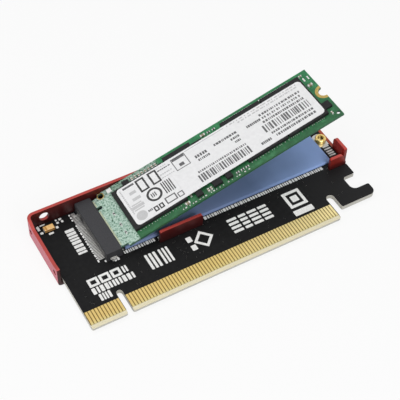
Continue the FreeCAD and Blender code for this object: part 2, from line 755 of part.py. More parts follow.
card = piece("drive_board")
card_shape = outline(card, "XY", "0", [
    ("0", "-tongue_width / 2"),
    ("tongue_long", "-tongue_width / 2"),
    ("tongue_long", "-card_wide / 2"),
    ("card_long", "-card_wide / 2"),
    ("card_long", "card_wide / 2"),
    ("tongue_long", "card_wide / 2"),
    ("tongue_long", "tongue_width / 2"),
    ("0", "tongue_width / 2"),
])
extrude(card, card_shape, "XY", "card_thick")
round_corners(card, card_shape, [1, 6], "XY", "tongue_round")
cut_block(card, "-1", "card_key_deep - card_key_width / 2", "card_key_at - card_key_width / 2",
          "card_key_at + card_key_width / 2", "-1", "card_thick + 2")
cut(card, circle(card, "XY", "-1", ("card_key_deep - card_key_width / 2", "card_key_at"), "card_key_width / 2"),
    "XY", "card_thick + 2")
cut(card, circle(card, "XY", "-1", ("card_long", "0"), "end_hole_round"), "XY", "card_thick + 2")
cut(card, circle(card, "XY", "-1", ("tool_hole_x", "tool_hole_y"), "tool_hole_round"), "XY", "card_thick + 2")
cut(card, circle(card, "XY", "-1", ("small_hole_x", "-small_hole_y"), "small_hole_round"), "XY", "card_thick + 2")
place_on_tilt(card)

for label, start, first, after in (("drive_contacts_top", "card_thick", "-upper_first", "upper_after_key"),
                                   ("drive_contacts_bottom", "-card_skin", "-lower_first", "lower_after_key")):
    fingers = piece(label)
    for at, count in ((first, "pins_before_key"), (first + " + past_key", after)):
        finger = add_block(fingers, "finger_foot", "finger_head", at + " - finger_width / 2",
                           at + " + finger_width / 2", start, "card_skin")
        repeat(fingers, [finger], "Y", count, "pin_pitch")
    place_on_tilt(fingers)

ring = piece("drive_mount_ring")
for start in ("card_thick", "-card_skin"):
    extrude(ring, circle(ring, "XY", start, ("card_long", "0"), "ring_round"), "XY", "card_skin")
cut(ring, circle(ring, "XY", "-1", ("card_long", "0"), "end_hole_round"), "XY", "card_thick + 2")
cut_block(ring, "card_long", "card_long + ring_round + 1", "-card_wide / 2", "card_wide / 2", "-1", "card_thick + 2")
place_on_tilt(ring)


# The drive's chips, its label and its small parts.
def chip(label, x_low, x_high, y_low, y_high, high):
    body = block(label, x_low, x_high, y_low, y_high, "card_thick", high)
    top = max(vertex.Z for vertex in body.Shape.Vertexes)
    soften(body, "Chamfer", edges_where(body, lambda b: b.ZMin > top - 1e-4), "chip_bevel")
    place_on_tilt(body)

chip("drive_memory_a", "memory_left", "memory_left + memory_long", "memory_front", "memory_back", "chip_high")
chip("drive_memory_b", "memory_seam", "memory_right", "memory_front", "memory_back", "chip_high")
chip("drive_controller", "controller_left", "controller_right", "controller_front", "controller_back", "chip_high")
chip("drive_cache", "cache_left", "cache_right", "cache_front", "cache_back", "chip_high")
chip("drive_power_chip", "power_left", "power_right", "power_front", "power_back", "power_high")

label = piece("drive_label")
label_shape = outline(label, "XY", "card_thick + chip_high",
                      rectangle("label_left", "label_right", "label_front", "label_back"))
extrude(label, label_shape, "XY", "label_thick")
round_corners(label, label_shape, [0, 1, 2, 3], "XY", "label_round")
place_on_tilt(label)

for name, spots in small_parts.items():
    group = piece(name)
    for number in range(len(spots)):
        tag = part_name(name, number)
        add_block(group, tag + "_at - " + tag + "_long / 2", tag + "_at + " + tag + "_long / 2",
                  tag + "_across - " + tag + "_wide / 2", tag + "_across + " + tag + "_wide / 2",
                  "card_thick", tag + "_high")
    place_on_tilt(group)

# Check every piece and write it out.
doc.recompute()
for thing in doc.Objects:
    if "Invalid" in thing.State or "Error" in thing.State:
        raise RuntimeError(thing.Name + " did not compute")
os.makedirs("parts", exist_ok=True)
for body in [o for o in doc.Objects if o.TypeId == "PartDesign::Body"]:
    shape = body.Shape
    if shape.isNull() or not shape.isValid() or shape.Volume <= 0:
        raise RuntimeError(body.Label + " has no valid shape")
    shape.exportStep("parts/" + body.Label + ".step")
    box = shape.BoundBox
    print("%-24s solids %3d  X %7.2f %7.2f  Y %7.2f %7.2f  Z %6.2f %6.2f" % (
        body.Label, len(shape.Solids), box.XMin, box.XMax, box.YMin, box.YMax, box.ZMin, box.ZMax))
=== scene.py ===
import json
import math
import bpy
import numpy as np
from mathutils import Euler, Matrix, Vector


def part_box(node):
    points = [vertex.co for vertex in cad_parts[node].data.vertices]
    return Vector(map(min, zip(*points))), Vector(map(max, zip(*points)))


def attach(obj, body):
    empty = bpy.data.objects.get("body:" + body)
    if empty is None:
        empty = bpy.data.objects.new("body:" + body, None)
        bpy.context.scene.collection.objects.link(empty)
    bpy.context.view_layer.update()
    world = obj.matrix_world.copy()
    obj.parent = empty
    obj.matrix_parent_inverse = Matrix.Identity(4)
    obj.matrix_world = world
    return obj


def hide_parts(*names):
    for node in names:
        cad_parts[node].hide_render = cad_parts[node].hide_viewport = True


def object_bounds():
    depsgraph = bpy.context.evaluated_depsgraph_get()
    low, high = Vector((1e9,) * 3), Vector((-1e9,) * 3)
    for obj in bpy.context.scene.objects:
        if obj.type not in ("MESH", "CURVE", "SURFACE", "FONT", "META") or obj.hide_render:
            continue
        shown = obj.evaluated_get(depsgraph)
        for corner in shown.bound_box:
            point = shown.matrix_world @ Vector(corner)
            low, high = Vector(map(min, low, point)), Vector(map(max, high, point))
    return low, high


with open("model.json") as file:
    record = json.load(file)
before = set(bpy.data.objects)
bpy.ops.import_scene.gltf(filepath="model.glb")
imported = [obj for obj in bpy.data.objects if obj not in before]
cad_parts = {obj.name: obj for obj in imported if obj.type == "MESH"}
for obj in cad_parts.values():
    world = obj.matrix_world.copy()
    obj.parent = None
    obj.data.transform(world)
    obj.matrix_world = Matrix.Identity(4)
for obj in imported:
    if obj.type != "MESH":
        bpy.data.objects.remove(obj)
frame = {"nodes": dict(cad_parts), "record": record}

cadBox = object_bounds()
mm = 0.001
print("frame loaded")

# where the camera stands, how it is turned and how long its lens is
view = {
    "place": (-0.07239, -0.1548, 0.25209),
    "turn": (40.238, -1.345, -29.622),
    "lens": 95.633,
    "sensor": 36,
    "nearest": 0.01,
}
camera = bpy.data.objects.new("viewCamera", bpy.data.cameras.new("viewCamera"))
camera.data.lens = view["lens"]
camera.data.sensor_width = view["sensor"]
camera.data.clip_start = view["nearest"]
camera.location = view["place"]
camera.rotation_euler = Euler([math.radians(angle) for angle in view["turn"]], "XYZ")
bpy.context.scene.collection.objects.link(camera)
bpy.context.scene.camera = camera

# the drive card's own frame: u along it, v across it, h up from its lower face
card = {"tilt": 15.0, "thick": 0.8}
cardTilt = math.radians(card["tilt"])
cardLow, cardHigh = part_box("drive_board")
cardStart = cardLow.x + card["thick"] * mm * math.sin(cardTilt)
cardRoot = Vector((cardStart, (cardLow.y + cardHigh.y) / 2, cardLow.z))
onCard = Matrix.Translation(cardRoot) @ Matrix.Rotation(-cardTilt, 4, "Y")
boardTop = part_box("standoff_land")[0].z / mm  # the board's upper face, in millimetres
widestCorner = 0.98  # a corner's radius is at most this share of half the shorter side


def roundedOutlines(rows, radius, arcSteps, inset=0.0):
    # rows of (x, y, length, width): each corner's arc is its centre plus the radius
    # times (cos a, sin a), with a a quarter turn further at each corner
    rows = np.asarray(rows, float).reshape(-1, 4)
    halves = rows[:, 2:] / 2 - inset
    radii = np.minimum(radius, halves.min(axis=1) * widestCorner)[:, None]
    quarter = np.linspace(0, math.pi / 2, arcSteps)
    angle = np.concatenate([quarter + corner * math.pi / 2 for corner in range(4)])
    signX = np.repeat([1, -1, -1, 1], arcSteps)
    signY = np.repeat([1, 1, -1, -1], arcSteps)
    x = rows[:, :1] + signX * (halves[:, :1] - radii) + np.cos(angle) * radii
    y = rows[:, 1:2] + signY * (halves[:, 1:] - radii) + np.sin(angle) * radii
    return np.stack([x, y], -1)


def prisms(lower, upper, low, high):
    # each outline is carried straight from its lower form to its upper one and closed flat
    count, sides = lower.shape[:2]
    low, high = (np.broadcast_to(np.reshape(level, (-1, 1)), (count, sides)) for level in (low, high))
    verts = np.concatenate([np.dstack([lower, low]), np.dstack([upper, high])], 1).reshape(-1, 3)
    here = np.arange(sides)
    there = (here + 1) % sides
    base = (np.arange(count) * 2 * sides)[:, None]
    walls = np.stack([here, there, there + sides, here + sides], 1)[None] + base[:, None]
    return verts, [walls.reshape(-1, 4), here[None] + sides + base, here[::-1][None] + base]


def bars(rows, low, high, radius):
    # flat rounded bars, standing a hair proud of the face they are printed on
    outlines = roundedOutlines(rows, radius, arcSteps=3)
    return prisms(outlines, outlines, low, high)


def frames(rows):
    # rows of (x, y, length, width, line): two long bars, and two short ones between them
    x, y, length, width, line = np.asarray(rows, float).reshape(-1, 5).T
    up, out = (width - line) / 2, (length - line) / 2
    sides = ((x, y + up, length, line), (x, y - up, length, line),
             (x + out, y, line, width - 2 * line), (x - out, y, line, width - 2 * line))
    return np.stack([np.stack(side, 1) for side in sides], 1).reshape(-1, 4)


def barRow(start, end, middle, tall, widths, gaps, seed, upright=False):
    # bars set one after another: each starts where the widths and gaps before it add up to
    draw = np.random.default_rng(seed)
    count = int((end - start) / (min(widths) + min(gaps))) + 2
    wide, gap = draw.choice(widths, count), draw.choice(gaps, count)
    left = start + np.cumsum(wide + gap) - wide - gap
    keep = left + wide <= end + 1e-6  # a hair more than the end, for rounding
    rows = np.stack([left + wide / 2, np.full(count, middle), wide, np.full(count, tall)], 1)[keep]
    return rows[:, [1, 0, 3, 2]] if upright else rows


def rings(centres, inner, outer, low, high, steps):
    # flat bands: the points at the inner and outer radius all round, at two levels
    centres = np.asarray(centres, float).reshape(-1, 2)
    count = len(centres)
    angle = np.linspace(0, 2 * math.pi, steps, endpoint=False)
    ray = np.stack([np.cos(angle), np.sin(angle)], 1)[None]
    flat = [centres[:, None] + ray * reach for reach in (inner, outer)]
    loops = [np.dstack([loop, np.full((count, steps), level)]) for level in (low, high) for loop in flat]
    verts = np.stack(loops, 1).reshape(-1, 3)
    here = np.arange(steps)
    there = (here + 1) % steps
    a, b, c, d = (here + k * steps for k in range(4))  # low inner, low outer, high inner, high outer
    e, f, g, h = (there + k * steps for k in range(4))  # the same four, one step further round
    bands = ((c, d, h, g), (a, e, f, b), (b, f, h, d), (a, c, g, e))
    quads = np.concatenate([np.stack(band, 1) for band in bands])
    return verts, [(quads[None] + (np.arange(count) * 4 * steps)[:, None, None]).reshape(-1, 4)]


def closedSheet(x, y, top, bottom):
    # a grid of points at the top height and the same grid at the bottom, joined round the rim
    along, across = x.shape
    under = along * across
    verts = np.concatenate([np.dstack([x, y, level]).reshape(-1, 3) for level in (top, bottom)])
    index = np.arange(under).reshape(along, across)
    a, b, c, d = index[:-1, :-1], index[1:, :-1], index[1:, 1:], index[:-1, 1:]
    upper = np.stack([a, b, c, d], -1).reshape(-1, 4)
    rim = np.concatenate([index[:, 0], index[-1, 1:], index[-2::-1, -1], index[0, -2:0:-1]])
    after = np.roll(rim, -1)
    return verts, [upper, upper[:, ::-1] + under, np.stack([rim + under, after + under, after, rim], 1)]


def newPiece(name, parts, finish, body, place=None, smooth=False):
    # parts are (points, sets of faces) in millimetres; place carries them onto the tilted card
    verts, faces, base = [], [], 0
    for points, faceSets in parts:
        verts.append(points)
        faces += [face for faceSet in faceSets for face in (faceSet + base).tolist()]
        base += len(points)
    verts = np.concatenate(verts) * mm
    if place is not None:
        turn = np.array(place)
        verts = verts @ turn[:3, :3].T + turn[:3, 3]
    mesh = bpy.data.meshes.new(name)
    mesh.from_pydata(verts.tolist(), [], faces)
    mesh.update()
    mesh.polygons.foreach_set("use_smooth", [smooth] * len(mesh.polygons))
    mesh.materials.append(finish)
    piece = bpy.data.objects.new(name, mesh)
    bpy.context.scene.collection.objects.link(piece)
    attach(piece, body)
    return piece


def hexColour(text):
    # sRGB hex to linear: the darkest part is a straight line, the rest a 2.4 power
    parts = np.array([int(text[i:i + 2], 16) / 255 for i in (0, 2, 4)])
    linear = np.where(parts <= 0.04045, parts / 12.92, ((parts + 0.055) / 1.055) ** 2.4)
    return (*linear.tolist(), 1.0)


def addNode(tree, kind, settings=None, links=None):
    # one node: settings are its own values, its sockets, colour stops, or the two ends that
    # a fade goes From and To; links feed its sockets
    node = tree.nodes.new("ShaderNode" + kind)
    for key, value in (settings or {}).items():
        if key == "stops":
            for element, (at, colour) in zip(node.color_ramp.elements, (value[0], value[-1])):
                element.position = at
                element.color = hexColour(colour)
            for at, colour in value[1:-1]:
                node.color_ramp.elements.new(at).color = hexColour(colour)
        elif key in ("From", "To"):
            for end, number in zip((" Min", " Max"), value):
                node.inputs[key + end].default_value = number
        elif isinstance(key, int) or key in node.inputs:
            node.inputs[key].default_value = hexColour(value) if isinstance(value, str) else value
        else:
            setattr(node, key, value)
    for key, source in (links or {}).items():
        tree.links.new(source, node.inputs[key])
    return node


def startFinish(name, values):
    # a new material, with the numbers that are the same all over its surface
    material = bpy.data.materials.new(name)
    material.use_nodes = True
    shader = material.node_tree.nodes["Principled BSDF"]
    for key, value in values.items():
        shader.inputs[key].default_value = value
    return material, material.node_tree, shader


def inMillimetres(tree, tilted=False):
    # the point on the piece in millimetres, in the frame or along the tilted card
    spot = addNode(tree, "TexCoord").outputs["Object"]
    settings = {"vector_type": "TEXTURE", "Scale": (mm, mm, mm)}
    if tilted:
        settings.update({"Location": tuple(cardRoot), "Rotation": (0, -cardTilt, 0)})
    return addNode(tree, "Mapping", settings, {"Vector": spot}).outputs["Vector"]


def apart(tree, vector):
    # the X, Y and Z of a place, or of the way that a face looks
    return addNode(tree, "SeparateXYZ", links={"Vector": vector}).outputs


def layOn(tree, shader, colour, relief=(0, 0), height=None):
    # the colour covers the surface, and the height stands out as a relief of (strength, mm)
    tree.links.new(colour, shader.inputs["Base Color"])
    strength, deep = relief
    if strength:
        bump = addNode(tree, "Bump", {"Strength": strength, "Distance": deep * mm}, {"Height": height})
        tree.links.new(bump.outputs["Normal"], shader.inputs["Normal"])


def grainyFinish(name, colours, grainMm, values, strength=0, reliefMm=0.01):
    # two or three close shades spread by noise of the given grain, which is the relief too;
    # such noise stays mostly between 0.3 and 0.7, so the shades are set there
    material, tree, shader = startFinish(name, values)
    place = inMillimetres(tree)
    spread = addNode(tree, "TexNoise", {"Scale": 1 / grainMm, "Detail": 3.0}, {"Vector": place}).outputs["Fac"]
    stops = [(0.3 + 0.4 * k / (len(colours) - 1), colour) for k, colour in enumerate(colours)]
    shade = addNode(tree, "ValToRGB", {"stops": stops}, {"Fac": spread}).outputs["Color"]
    layOn(tree, shader, shade, (strength, reliefMm), spread)
    return material


# glass-epoxy board under black mask: satin black faces, pale sawn edges, bare tan tongue
blackBoard = {
    "surface": {"Roughness": 0.5, "IOR": 1.5, "Specular IOR Level": 0.12},
    "mask": [(0.35, "0f0f10"), (0.7, "161617")],
    "farSheenMask": "1d1d1e", "farSheen": (58.0, 84.0),  # painted sheen: the mask pales to this shade from x to x
    "bare": [(0.3, "6e5a2e"), (0.7, "84703e")],
    "lip": [(0.3, "d6cdac"), (0.7, "e2dbc0")], "lipEnds": (1.0, 1.3),
    "sawn": [(0.3, "b4b2aa"), (0.7, "cfcdc5")], "steep": (0.4, 0.6),
    "tongueEnds": (5.85, 5.95), "lastContact": (72.0, 72.1),  # where the bare tongue stops, in y and in x
    "copper": 1.2, "weave": 0.25, "runs": 1.6,  # copper under the mask, glass strands and runs, in mm
    "relief": (0.15, 0.02),
}


def boardFinish(look):
    material, tree, shader = startFinish("blackMaskedGlassEpoxy", look["surface"])
    place = inMillimetres(tree)
    along = apart(tree, place)
    facing = apart(tree, addNode(tree, "TexCoord").outputs["Normal"])
    # mask is poured thin, so copper under it shows as a shade of its own; the paler far end is a painted sheen
    copper = addNode(
        tree, "TexNoise", {"Scale": 1 / look["copper"], "Detail": 4.0}, {"Vector": place}).outputs["Fac"]
    mask = addNode(tree, "ValToRGB", {"stops": look["mask"]}, {"Fac": copper}).outputs["Color"]
    farSheen = addNode(tree, "MapRange", {"From": look["farSheen"]}, {"Value": along["X"]}).outputs["Result"]
    mask = addNode(tree, "Mix", {"data_type": "RGBA", 7: look["farSheenMask"]}, {0: farSheen, 6: mask}).outputs[2]
    weave = addNode(
        tree, "TexNoise", {"Scale": 1 / look["weave"], "Detail": 2.0}, {"Vector": place}).outputs["Fac"]
    bare, lip, sawn = (
        addNode(tree, "ValToRGB", {"stops": look[key]}, {"Fac": weave}).outputs["Color"]
        for key in ("bare", "lip", "sawn"))
    level = addNode(tree, "Math", {"operation": "ABSOLUTE"}, {0: facing["Z"]}).outputs[0]
    fades = (("lipEnds", along["Y"]), ("tongueEnds", along["Y"]), ("lastContact", along["X"]), ("steep", level))
    atLip, inTongue, before, steep = (
        addNode(tree, "MapRange", {"From": look[ends], "To": (1, 0)}, {"Value": value}).outputs["Result"]
        for ends, value in fades)
    tongue = addNode(tree, "Math", {"operation": "MULTIPLY"}, {0: inTongue, 1: before}).outputs[0]
    tipped = addNode(tree, "Mix", {"data_type": "RGBA"}, {0: atLip, 6: bare, 7: lip}).outputs[2]
    faces = addNode(tree, "Mix", {"data_type": "RGBA"}, {0: tongue, 6: mask, 7: tipped}).outputs[2]
    colour = addNode(tree, "Mix", {"data_type": "RGBA"}, {0: steep, 6: faces, 7: sawn}).outputs[2]
    runs = addNode(
        tree, "TexVoronoi", {"distance": "MANHATTAN", "Scale": 1 / look["runs"]}, {"Vector": place})
    layOn(tree, shader, colour, look["relief"], runs.outputs["Distance"])
    return material


# hard gold over nickel: warm and satin, worn a touch paler where the board slides in
hardGold = {
    "surface": {"Metallic": 1.0, "Roughness": 0.36},
    # painted reflection: the tone pales along x towards the far end
    "tone": [(0.0, "d4b875"), (0.5, "dcc37c"), (1.0, "fbe9ac")], "ends": (-12.0, 72.0),
    "worn": "cfc890", "wornEnds": (1.2, 2.6), "wear": 0.55,
    "grain": 0.3, "shade": (0.83, 1.07), "roughness": (0.28, 0.46),
}


def goldFinish(look):
    material, tree, shader = startFinish("hardGoldPlate", look["surface"])
    place = inMillimetres(tree)
    along = apart(tree, place)
    # painted reflection: the gold pales along x towards the far end
    sweep = addNode(tree, "MapRange", {"From": look["ends"]}, {"Value": along["X"]}).outputs["Result"]
    tone = addNode(tree, "ValToRGB", {"stops": look["tone"]}, {"Fac": sweep}).outputs["Color"]
    worn = addNode(
        tree, "MapRange", {"From": look["wornEnds"], "To": (look["wear"], 0)},
        {"Value": along["Y"]}).outputs["Result"]
    pale = addNode(tree, "Mix", {"data_type": "RGBA", 7: look["worn"]}, {0: worn, 6: tone}).outputs[2]
    # plating grain is microns wide, drawn at 0.3 mm so that it shows
    grain = addNode(
        tree, "TexNoise", {"Scale": 1 / look["grain"], "Detail": 3.0}, {"Vector": place}).outputs["Fac"]
    shade = addNode(tree, "MapRange", {"To": look["shade"]}, {"Value": grain}).outputs["Result"]
    colour = addNode(tree, "VectorMath", {"operation": "SCALE"}, {0: pale, 3: shade}).outputs[0]
    layOn(tree, shader, colour)
    rough = addNode(tree, "MapRange", {"To": look["roughness"]}, {"Value": grain}).outputs["Result"]
    tree.links.new(rough, shader.inputs["Roughness"])
    return material


# aluminium sheet, folded, then etched and dyed red: satin, with painted shade low on its inner walls and
# painted highlights on its upward edges, its left face and its far end
redTray = {
    "surface": {"Metallic": 0.2, "Roughness": 0.4, "Specular IOR Level": 0.35},
    "etch": 0.15, "drift": 6.0, "driftShare": (-0.12, 0.12),  # grain of the etch, drift of the dye, in mm
    "relief": (0.25, 0.01),
    # painted shade: the inner walls darken towards their foot and towards the socket end
    "wall": [(0.0, "341010"), (0.4, "441313"), (0.75, "561614"), (1.0, "8a261e")],
    "wallRise": (1.0, 6.6), "ends": (16.0, 84.0), "shadeEndShare": (-0.3, 0.5),
    "even": [(0.3, "8e2c27"), (0.7, "9e342e")], "outward": (0.5, 0.9), "behind": 41.9, "beyond": 87.0,
    # painted highlight on the edges that look up
    "edgeHighlight": ("b0443e", "cc5048"), "edgeHighlightEnds": (40.0, 80.0),
    "edgeHighlightRise": (1.5, 2.5), "upward": (0.5, 0.8),
    # painted sheen on the outer face of the left wall
    "leftSheen": "bc5465", "leftward": (-0.9, -0.5), "leftEnds": (-13.3, -13.0),
    # painted light and shade on the inner face of the far wall
    "farLitFace": "cc2a20", "farFrom": 80.0, "farRise": (1.6, 5.0), "farFoot": 0.3,
    # painted highlight on the low strip at the far end
    "strip": "b4523c", "stripFrom": (86.2, 25.75),
}


def trayFinish(look):
    material, tree, shader = startFinish("redAnodisedAluminium", look["surface"])
    place = inMillimetres(tree)
    along = apart(tree, place)
    facing = apart(tree, addNode(tree, "TexCoord").outputs["Normal"])
    # fine grain of the etch, and a slow drift of the dye
    etched = addNode(
        tree, "TexNoise", {"Scale": 1 / look["etch"], "Detail": 3.0}, {"Vector": place}).outputs["Fac"]
    drift = addNode(
        tree, "TexNoise", {"Scale": 1 / look["drift"], "Detail": 2.0}, {"Vector": place}).outputs["Fac"]
    # painted shade: darker towards the foot of each wall
    rise = addNode(tree, "MapRange", {"From": look["wallRise"]}, {"Value": along["Z"]}).outputs["Result"]
    drifted = addNode(tree, "MapRange", {"To": look["driftShare"]}, {"Value": drift}).outputs["Result"]
    deep = addNode(tree, "Math", {"operation": "ADD"}, {0: rise, 1: drifted}).outputs[0]
    # painted shade: the red is darker by the socket and lighter towards the far end
    sweep = addNode(
        tree, "MapRange", {"From": look["ends"], "To": look["shadeEndShare"]},
        {"Value": along["X"]}).outputs["Result"]
    level = addNode(tree, "Math", {"operation": "ADD", "use_clamp": True}, {0: deep, 1: sweep}).outputs[0]
    wall = addNode(tree, "ValToRGB", {"stops": look["wall"]}, {"Fac": level}).outputs["Color"]
    # faces that look out backwards and to the far end have the even outer dye, without the painted shade
    most = addNode(tree, "Math", {"operation": "MAXIMUM"}, {0: facing["X"], 1: facing["Y"]}).outputs[0]
    outward = addNode(tree, "MapRange", {"From": look["outward"]}, {"Value": most}).outputs["Result"]
    behind = addNode(tree, "Math", {"operation": "GREATER_THAN", 1: look["behind"]}, {0: along["Y"]}).outputs[0]
    beyond = addNode(tree, "Math", {"operation": "GREATER_THAN", 1: look["beyond"]}, {0: along["X"]}).outputs[0]
    outside = addNode(tree, "Math", {"operation": "MAXIMUM"}, {0: behind, 1: beyond}).outputs[0]
    evenly = addNode(tree, "Math", {"operation": "MULTIPLY"}, {0: outward, 1: outside}).outputs[0]
    even = addNode(tree, "ValToRGB", {"stops": look["even"]}, {"Fac": drift}).outputs["Color"]
    backed = addNode(tree, "Mix", {"data_type": "RGBA"}, {0: evenly, 6: wall, 7: even}).outputs[2]
    # painted highlight: faces that look up near the top of the walls are lighter, most of all towards the far
    # end
    upward = addNode(tree, "MapRange", {"From": look["upward"]}, {"Value": facing["Z"]}).outputs["Result"]
    high = addNode(tree, "MapRange", {"From": look["edgeHighlightRise"]}, {"Value": along["Z"]}).outputs["Result"]
    atEdge = addNode(tree, "Math", {"operation": "MULTIPLY"}, {0: upward, 1: high}).outputs[0]
    endward = addNode(tree, "MapRange", {"From": look["edgeHighlightEnds"]}, {"Value": along["X"]}).outputs["Result"]
    near, far = look["edgeHighlight"]
    edgeHighlightColour = addNode(tree, "Mix", {"data_type": "RGBA", 6: near, 7: far}, {0: endward}).outputs[2]
    edged = addNode(tree, "Mix", {"data_type": "RGBA"}, {0: atEdge, 6: backed, 7: edgeHighlightColour}).outputs[2]
    # painted sheen: the outer face of the left wall is a pinker red
    leftward = addNode(
        tree, "MapRange", {"From": look["leftward"], "To": (1, 0)}, {"Value": facing["X"]}).outputs["Result"]
    leftMost = addNode(
        tree, "MapRange", {"From": look["leftEnds"], "To": (1, 0)}, {"Value": along["X"]}).outputs["Result"]
    outer = addNode(tree, "Math", {"operation": "MULTIPLY"}, {0: leftward, 1: leftMost}).outputs[0]
    sheened = addNode(tree, "Mix", {"data_type": "RGBA", 7: look["leftSheen"]}, {0: outer, 6: edged}).outputs[2]
    # painted light and shade: the inner face of the far wall is an open red at its top, deep at its foot
    atFar = addNode(tree, "Math", {"operation": "GREATER_THAN", 1: look["farFrom"]}, {0: along["X"]}).outputs[0]
    inner = addNode(tree, "Math", {"operation": "MULTIPLY"}, {0: leftward, 1: atFar}).outputs[0]
    climb = addNode(
        tree, "MapRange", {"From": look["farRise"], "To": (look["farFoot"], 1)},
        {"Value": along["Z"]}).outputs["Result"]
    farLitShare = addNode(tree, "Math", {"operation": "MULTIPLY"}, {0: inner, 1: climb}).outputs[0]
    redder = addNode(tree, "Mix", {"data_type": "RGBA", 7: look["farLitFace"]}, {0: farLitShare, 6: sheened}).outputs[2]
    # painted highlight: the low strip at the far end lies clear of the walls and is given a lighter red
    pastEnd, pastTab = (
        addNode(tree, "Math", {"operation": "GREATER_THAN", 1: start}, {0: value}).outputs[0]
        for start, value in zip(look["stripFrom"], (along["X"], along["Y"])))
    strip = addNode(tree, "Math", {"operation": "MULTIPLY"}, {0: pastEnd, 1: pastTab}).outputs[0]
    colour = addNode(tree, "Mix", {"data_type": "RGBA", 7: look["strip"]}, {0: strip, 6: redder}).outputs[2]
    layOn(tree, shader, colour, look["relief"], etched)
    return material


# green mask over copper: semi-gloss, with a pale poured ground and fine runs by the socket
greenCard = {
    "surface": {"Roughness": 0.42, "IOR": 1.5, "Specular IOR Level": 0.35},
    "mask": [(0.3, "124a26"), (0.55, "28683c"), (0.75, "4a9060")], "patches": 1.5,
    "tint": ("2a5a3b", "2d8455"), "tintEnds": (-10.0, 9.0), "tintShare": 0.5,
    "ground": [(0.3, "243d2e"), (0.42, "5f8370"), (0.53, "8cab9a"), (0.68, "b6ccc0")], "groundEnds": (7.6, 7.9),
    "breaks": 0.7, "lands": 0.6, "landReach": (0, 0.9), "landShare": (-0.14, 0.14),  # spacings in mm
    "relief": (0.3, 0.02),
    "strip": [(0.37, "1f3328"), (0.5, "587063"), (0.63, "a4b6ab")],
    "stripBack": (8.3, 8.6), "stripEnds": (24.0, 25.5), "stripShare": 0.75,
    "sawn": "1f5238", "steep": (0.4, 0.6), "sawnShare": 0.8,
}


def cardFinish(look):
    material, tree, shader = startFinish("greenMaskedCard", look["surface"])
    place = inMillimetres(tree, tilted=True)
    along = apart(tree, place)
    facing = apart(tree, addNode(tree, "TexCoord").outputs["Normal"])
    patches = addNode(
        tree, "TexNoise", {"Scale": 1 / look["patches"], "Detail": 3.0}, {"Vector": place}).outputs["Fac"]
    mask = addNode(tree, "ValToRGB", {"stops": look["mask"]}, {"Fac": patches}).outputs["Color"]
    # the green is fresher towards the back edge
    backward = addNode(tree, "MapRange", {"From": look["tintEnds"]}, {"Value": along["Y"]}).outputs["Result"]
    front, back = look["tint"]
    tint = addNode(tree, "Mix", {"data_type": "RGBA", 6: front, 7: back}, {0: backward}).outputs[2]
    mask = addNode(tree, "Mix", {"data_type": "RGBA", 0: look["tintShare"]}, {6: mask, 7: tint}).outputs[2]
    # runs and lands about 0.6 mm apart, broken up by gaps of the bare ground between them
    breaks = addNode(
        tree, "TexNoise", {"Scale": 1 / look["breaks"], "Detail": 4.0, "Roughness": 0.7},
        {"Vector": place}).outputs["Fac"]
    lands = addNode(
        tree, "TexVoronoi", {"distance": "MANHATTAN", "Scale": 1 / look["lands"]},
        {"Vector": place}).outputs["Distance"]
    lands = addNode(
        tree, "MapRange", {"From": look["landReach"], "To": look["landShare"]},
        {"Value": lands}).outputs["Result"]
    copper = addNode(tree, "Math", {"operation": "ADD"}, {0: breaks, 1: lands}).outputs[0]
    ground = addNode(tree, "ValToRGB", {"stops": look["ground"]}, {"Fac": copper}).outputs["Color"]
    bySocket = addNode(
        tree, "MapRange", {"From": look["groundEnds"], "To": (1, 0)}, {"Value": along["X"]}).outputs["Result"]
    near = addNode(tree, "Mix", {"data_type": "RGBA"}, {0: bySocket, 6: mask, 7: ground}).outputs[2]
    # row of parts along the back edge sits on busier, greyer copper
    stripBack = addNode(tree, "MapRange", {"From": look["stripBack"]}, {"Value": along["Y"]}).outputs["Result"]
    stripEnd = addNode(
        tree, "MapRange", {"From": look["stripEnds"], "To": (look["stripShare"], 0)},
        {"Value": along["X"]}).outputs["Result"]
    busy = addNode(tree, "Math", {"operation": "MULTIPLY"}, {0: stripBack, 1: stripEnd}).outputs[0]
    strip = addNode(tree, "ValToRGB", {"stops": look["strip"]}, {"Fac": copper}).outputs["Color"]
    faces = addNode(tree, "Mix", {"data_type": "RGBA"}, {0: busy, 6: near, 7: strip}).outputs[2]
    level = addNode(tree, "Math", {"operation": "ABSOLUTE"}, {0: facing["Z"]}).outputs[0]
    steep = addNode(
        tree, "MapRange", {"From": look["steep"], "To": (look["sawnShare"], 0)},
        {"Value": level}).outputs["Result"]
    colour = addNode(tree, "Mix", {"data_type": "RGBA", 7: look["sawn"]}, {0: steep, 6: faces}).outputs[2]
    layOn(tree, shader, colour, look["relief"], copper)
    return material


# filled silicone gap pad, calendered: smooth, dead matt, with a faint dusty bloom
bluePad = {
    "surface": {"Roughness": 0.7, "IOR": 1.41, "Specular IOR Level": 0.3},
    # painted light and shade: the blue darkens under the card and lightens towards the far end
    "tone": [(0.0, "8597c2"), (0.57, "6e83ac"), (1.0, "a6c4fe")], "ends": (20.0, 82.0), "share": (0.05, 0.97),
    "bloom": 9.0, "bloomShare": (-0.1, 0.1), "powder": 0.12,  # patches of bloom, grain of the filler, in mm
    "relief": (0.12, 0.01),
}


